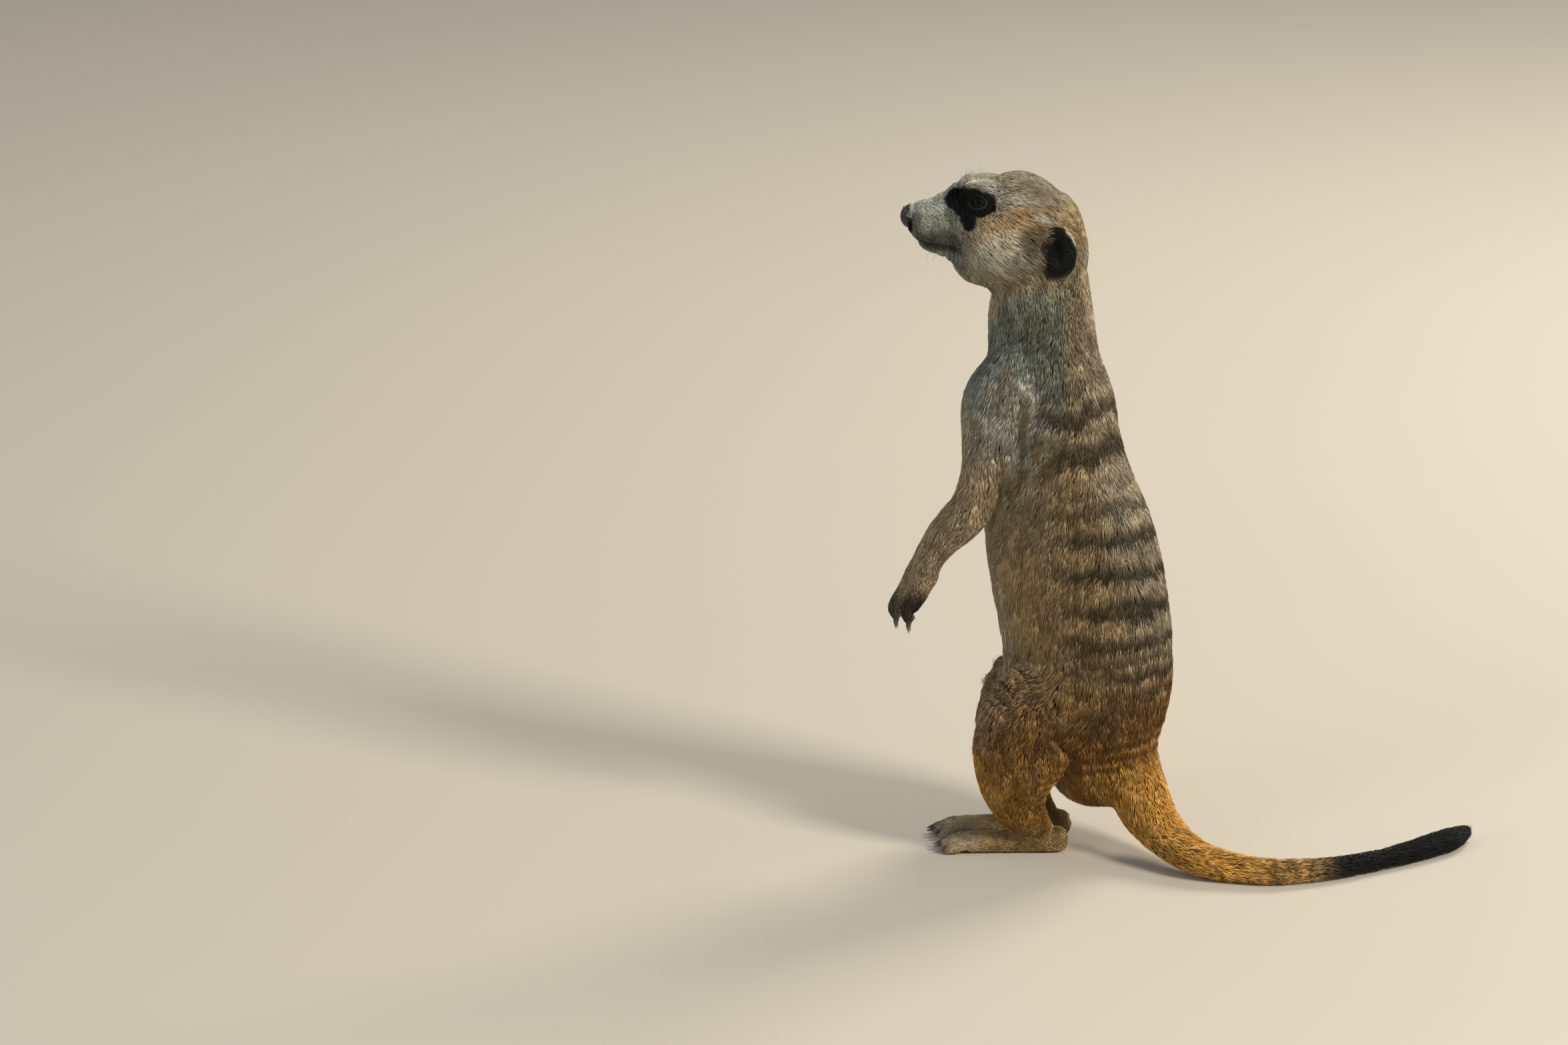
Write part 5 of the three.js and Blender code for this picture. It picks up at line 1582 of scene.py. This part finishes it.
def build_coat(colours, settings):
    """Closed tufts over the whole skin, in a piece for each region."""
    rng = np.random.default_rng(SEED)
    root, normal = roots_of_coat(settings.density, rng)
    found = fine_survey(root)
    facts = coat_at(root, found)
    length, share = facts[1], facts[-1]
    way, mid, tip, number = comb(root, normal, facts, settings, rng)
    marks = markings(root + SHOWN * (tip - root), found, share)
    tone = tones(root, rng)
    dark = rng.random(len(root)) < ticking(root, found, share)
    marks[:, 0] = np.where(dark, np.maximum(marks[:, 0], TICKED), marks[:, 0])
    width = facts[2] * settings.width * (WIDTHS[0] + WIDTHS[1] * rng.random(len(root)))
    bed = root - normal * SUNK
    kinds = ((length > LONG_FROM, spikes(mid, (bed, tip), normal, way, width), LONG),
             (length <= LONG_FROM, spikes(bed, (tip,), normal, way, width), SHORT))
    part = part_of_coat(root, found, share)
    material = coat_material(colours)
    for name in PIECES:
        mine = np.flatnonzero(part == name)
        its = {form: {"place": found[form]["place"][mine]} for form in FORMS}
        place = np.zeros((len(root), 2))
        place[mine] = fitted(unwrapped(root[mine], its, name))
        points, faces, spots, along, owner, start = [], [], [], [], [], 0
        for fits, shape, tuft in kinds:
            chosen = mine[fits[mine]]
            size = len(tuft["run"])
            first = start + np.arange(len(chosen)) * size
            points.append(shape[chosen].reshape(-1, 3))
            faces.append((tuft["faces"] + first[:, None, None]).reshape(-1, 3))
            spots.append((place[chosen][:, None] + PATCH * tuft["spots"]).reshape(-1, 2))
            along.append(np.tile(tuft["run"], len(chosen)))
            owner.append(np.repeat(chosen, size))
            start += len(chosen) * size
        points, faces, spots, along, owner = map(np.concatenate, (points, faces, spots, along, owner))
        fields = {**as_fields(marks[owner]), "hair": np.stack((along, tone[owner], number[owner]), 1)}
        piece = new_piece("coat_" + name, points, faces, material, fields, spots)
        {"tail": "fur_rufous", "hands": "fur_dark", "ears": "fur_dark"}.get(name, "fur")


# ---- Whiskers ----
WHISKERS = (  # rows of roots in the head's frame: from, to, how many, way, length, droop
    ((-35, 5.5, 3.5), (-25, 10, -0.5), 7, (-0.25, 1.0, -0.1), 9.0, 0.3),
    ((-34, 5.8, 1.2), (-24, 10, -2.6), 6, (-0.2, 1.0, -0.35), 8.0, 0.35),
    ((-30, 4, -6), (-22, 5, -8.4), 4, (-0.5, 0.5, -0.8), 5.5, 0.1),
    ((-17, 3, 20), (-6, 8, 23), 9, (-0.2, 0.3, 0.9), 4.0, -0.1),
)
WHISKER_RINGS, WHISKER_SIDES = 8, 5
WHISKER_RADIUS, WHISKER_TAPER = 0.06, 0.6  # radius at the root, in mm, and the power it falls by
WHISKER_LENGTHS = (0.7, 0.5)  # the shortest whisker as a share of its length, and what the longest adds
ROOT_JITTER, WAY_JITTER = 0.4, 0.16  # how far roots, in mm, and ways stray from their rows


def whisker_row(start, end, count, way, length, droop, rng):
    """Paths from even places along a row, moved onto the head: root + length (t way - droop t^2 up)."""
    share = (np.arange(count) + 0.5) / count
    t = np.linspace(0, 1, WHISKER_RINGS)[None, :, None]
    root = np.array(start) + share[:, None] * (np.array(end) - start)
    root = root + ROOT_JITTER * rng.standard_normal((count, 3))
    root -= np.array((0, 1, 0)) * head_distance((root + HEAD).astype(np.float32), fine=True)[0][:, None]
    its = unit(np.array(way) + WAY_JITTER * rng.standard_normal((count, 3)))
    reach = length * (WHISKER_LENGTHS[0] + WHISKER_LENGTHS[1] * rng.random(count))
    return root[:, None] + reach[:, None, None] * (t * its[:, None] - droop * t**2 * np.array((0, 0, 1)))


def build_whiskers(colours):
    """Long hairs on both sides of the face: thin closed tubes that end in points."""
    rng = np.random.default_rng(SEED + 1)
    paths = [whisker_row(*row, rng) * (1, side, 1) + HEAD for row in WHISKERS for side in (-1, 1)]
    radius = WHISKER_RADIUS * (1 - np.linspace(0, 1, WHISKER_RINGS)) ** WHISKER_TAPER
    points, faces = carry(np.concatenate(paths), radius, WHISKER_SIDES)
    look = Look("whisker", Specular_IOR_Level=0.4, Roughness=0.4)
    tint = look.noise(200.0).ramp(0.4, 0.6)
    look.wear(Base_Color=look.mix(tint, rgba(colours.black), rgba(colours.stripe_and_shade)))
    piece = new_piece("whiskers", points, faces, look.material)


# ---- The stage, in metres ----
FLOOR_HALF, FLOOR_BACK = 6.0, 2.0  # half the floor's side, and how far back its middle is
FLOOR_DROP = 0.0003  # how far the floor lies under the soles
SKY_COLOUR = (0.86, 0.92, 1.0)
CAMERA_AT = (-0.16997, -3.57228, 1.0356)
CAMERA_TILT = math.radians(76)
SENSOR = 36.0  # in mm
SIGHT = 50.0  # the furthest that the camera sees
LIGHTS = (  # name, place, power setting, share of it, colour, side
    ("key", (1.5, -1.3, 1.25), "key_power", 1.0, (1.0, 0.94, 0.84), 0.55),
    ("rim", (0.9, 1.3, 1.3), "key_power", 0.5, (1.0, 0.93, 0.82), 0.7),
    ("fill", (-1.5, -1.4, 0.8), "fill_power", 1.0, (0.82, 0.92, 1.0), 0.7),
)
AIM = (0.0, 0.0, 0.14)


def build_stage(settings):
    """A pale floor, soft square lights aimed at the body's middle, an even sky, and the camera."""
    scene = bpy.context.scene
    corners = ((-1, -1), (1, -1), (1, 1), (-1, 1))
    points = [(FLOOR_HALF * x, FLOOR_HALF * y + FLOOR_BACK, -FLOOR_DROP) for x, y in corners]
    me = bpy.data.meshes.new("floor")
    me.from_pydata(points, [], [(0, 1, 2, 3)])
    me.materials.append(floor_material(settings))
    floor = bpy.data.objects.new("floor", me)
    scene.collection.objects.link(floor)
    floor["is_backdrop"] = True
    for name, place, power, share, colour, size in LIGHTS:
        light = bpy.data.lights.new(name, "AREA")
        light.energy = getattr(settings, power) * share
        light.color = colour
        light.size = size
        lamp = bpy.data.objects.new(name, light)
        lamp.location = place
        way = Vector(AIM) - Vector(place)
        lamp.rotation_euler = way.to_track_quat("-Z", "Y").to_euler()
        scene.collection.objects.link(lamp)
    world = bpy.data.worlds.new("sky")
    world.use_nodes = True
    sky = world.node_tree.nodes["Background"]
    sky.inputs["Color"].default_value = rgba(SKY_COLOUR)
    sky.inputs["Strength"].default_value = settings.sky
    scene.world = world
    lens = bpy.data.cameras.new("camera")
    lens.lens = settings.focal_length
    lens.sensor_width = SENSOR
    lens.clip_end = SIGHT
    camera = bpy.data.objects.new("camera", lens)
    camera.location = CAMERA_AT
    camera.rotation_euler = (CAMERA_TILT, 0.0, 0.0)
    scene.collection.objects.link(camera)
    scene.camera = camera
    scene.view_settings.view_transform = "Standard"


# ---- The add-on ----
class MEERKAT_OT_stage(bpy.types.Operator):
    """Lay the floor, hang the lights and set the camera"""

    bl_idname = "meerkat.stage"
    bl_label = "Build Stage"

    def execute(self, context):
        build_stage(context.scene.meerkat_stage)
        return {"FINISHED"}


class MEERKAT_OT_skin(bpy.types.Operator):
    """Build the skin under the coat, with its lids"""

    bl_idname = "meerkat.skin"
    bl_label = "Build Skin"

    def execute(self, context):
        build_skin(context.scene.meerkat_colours)
        build_lids(context.scene.meerkat_colours)
        return {"FINISHED"}


class MEERKAT_OT_nose(bpy.types.Operator):
    """Build the nose pad"""

    bl_idname = "meerkat.nose"
    bl_label = "Build Nose"

    def execute(self, context):
        build_nose(context.scene.meerkat_colours)
        return {"FINISHED"}


class MEERKAT_OT_eyes(bpy.types.Operator):
    """Build both eyes"""

    bl_idname = "meerkat.eyes"
    bl_label = "Build Eyes"

    def execute(self, context):
        build_eyes(context.scene.meerkat_eye)
        return {"FINISHED"}


class MEERKAT_OT_claws(bpy.types.Operator):
    """Build the sixteen claws"""

    bl_idname = "meerkat.claws"
    bl_label = "Build Claws"

    def execute(self, context):
        build_claws(context.scene.meerkat_colours)
        return {"FINISHED"}


class MEERKAT_OT_coat(bpy.types.Operator):
    """Grow the tufts of the coat, once the skin is built"""

    bl_idname = "meerkat.coat"
    bl_label = "Grow Coat"

    def execute(self, context):
        build_coat(context.scene.meerkat_colours, context.scene.meerkat_coat)
        return {"FINISHED"}


class MEERKAT_OT_whiskers(bpy.types.Operator):
    """Build the whiskers and brow hairs"""

    bl_idname = "meerkat.whiskers"
    bl_label = "Build Whiskers"

    def execute(self, context):
        build_whiskers(context.scene.meerkat_colours)
        return {"FINISHED"}


OPERATORS = (MEERKAT_OT_stage, MEERKAT_OT_skin, MEERKAT_OT_nose, MEERKAT_OT_eyes, MEERKAT_OT_claws,
             MEERKAT_OT_coat, MEERKAT_OT_whiskers)
GROUPS = {"meerkat_colours": MeerkatColours, "meerkat_coat": MeerkatCoat, "meerkat_eye": MeerkatEye,
          "meerkat_stage": MeerkatStage}


class MEERKAT_PT_panel(bpy.types.Panel):
    """The settings, and a button for each operator"""

    bl_idname = "MEERKAT_PT_panel"
    bl_label = "Meerkat"
    bl_space_type = "VIEW_3D"
    bl_region_type = "UI"
    bl_category = "Meerkat"

    def draw(self, context):
        for key, group in GROUPS.items():
            box = self.layout.box()
            for name in group.__annotations__:
                box.prop(getattr(context.scene, key), name)
        for operator in OPERATORS:
            self.layout.operator(operator.bl_idname)


def register():
    for cls in (*GROUPS.values(), *OPERATORS, MEERKAT_PT_panel):
        bpy.utils.register_class(cls)
    for key, group in GROUPS.items():
        setattr(bpy.types.Scene, key, bpy.props.PointerProperty(type=group))


def unregister():
    for key in GROUPS:
        delattr(bpy.types.Scene, key)
    for cls in (MEERKAT_PT_panel, *OPERATORS[::-1], *reversed(GROUPS.values())):
        bpy.utils.unregister_class(cls)


def main():
    register()
    for operator in OPERATORS:
        group, name = operator.bl_idname.split(".")
        getattr(getattr(bpy.ops, group), name)()
    sizes = {"cad_box": CAD_BOX, "visual_box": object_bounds()}
    plain = {key: np.asarray(box, float).tolist() for key, box in sizes.items()}


if __name__ == "__main__":
    main()
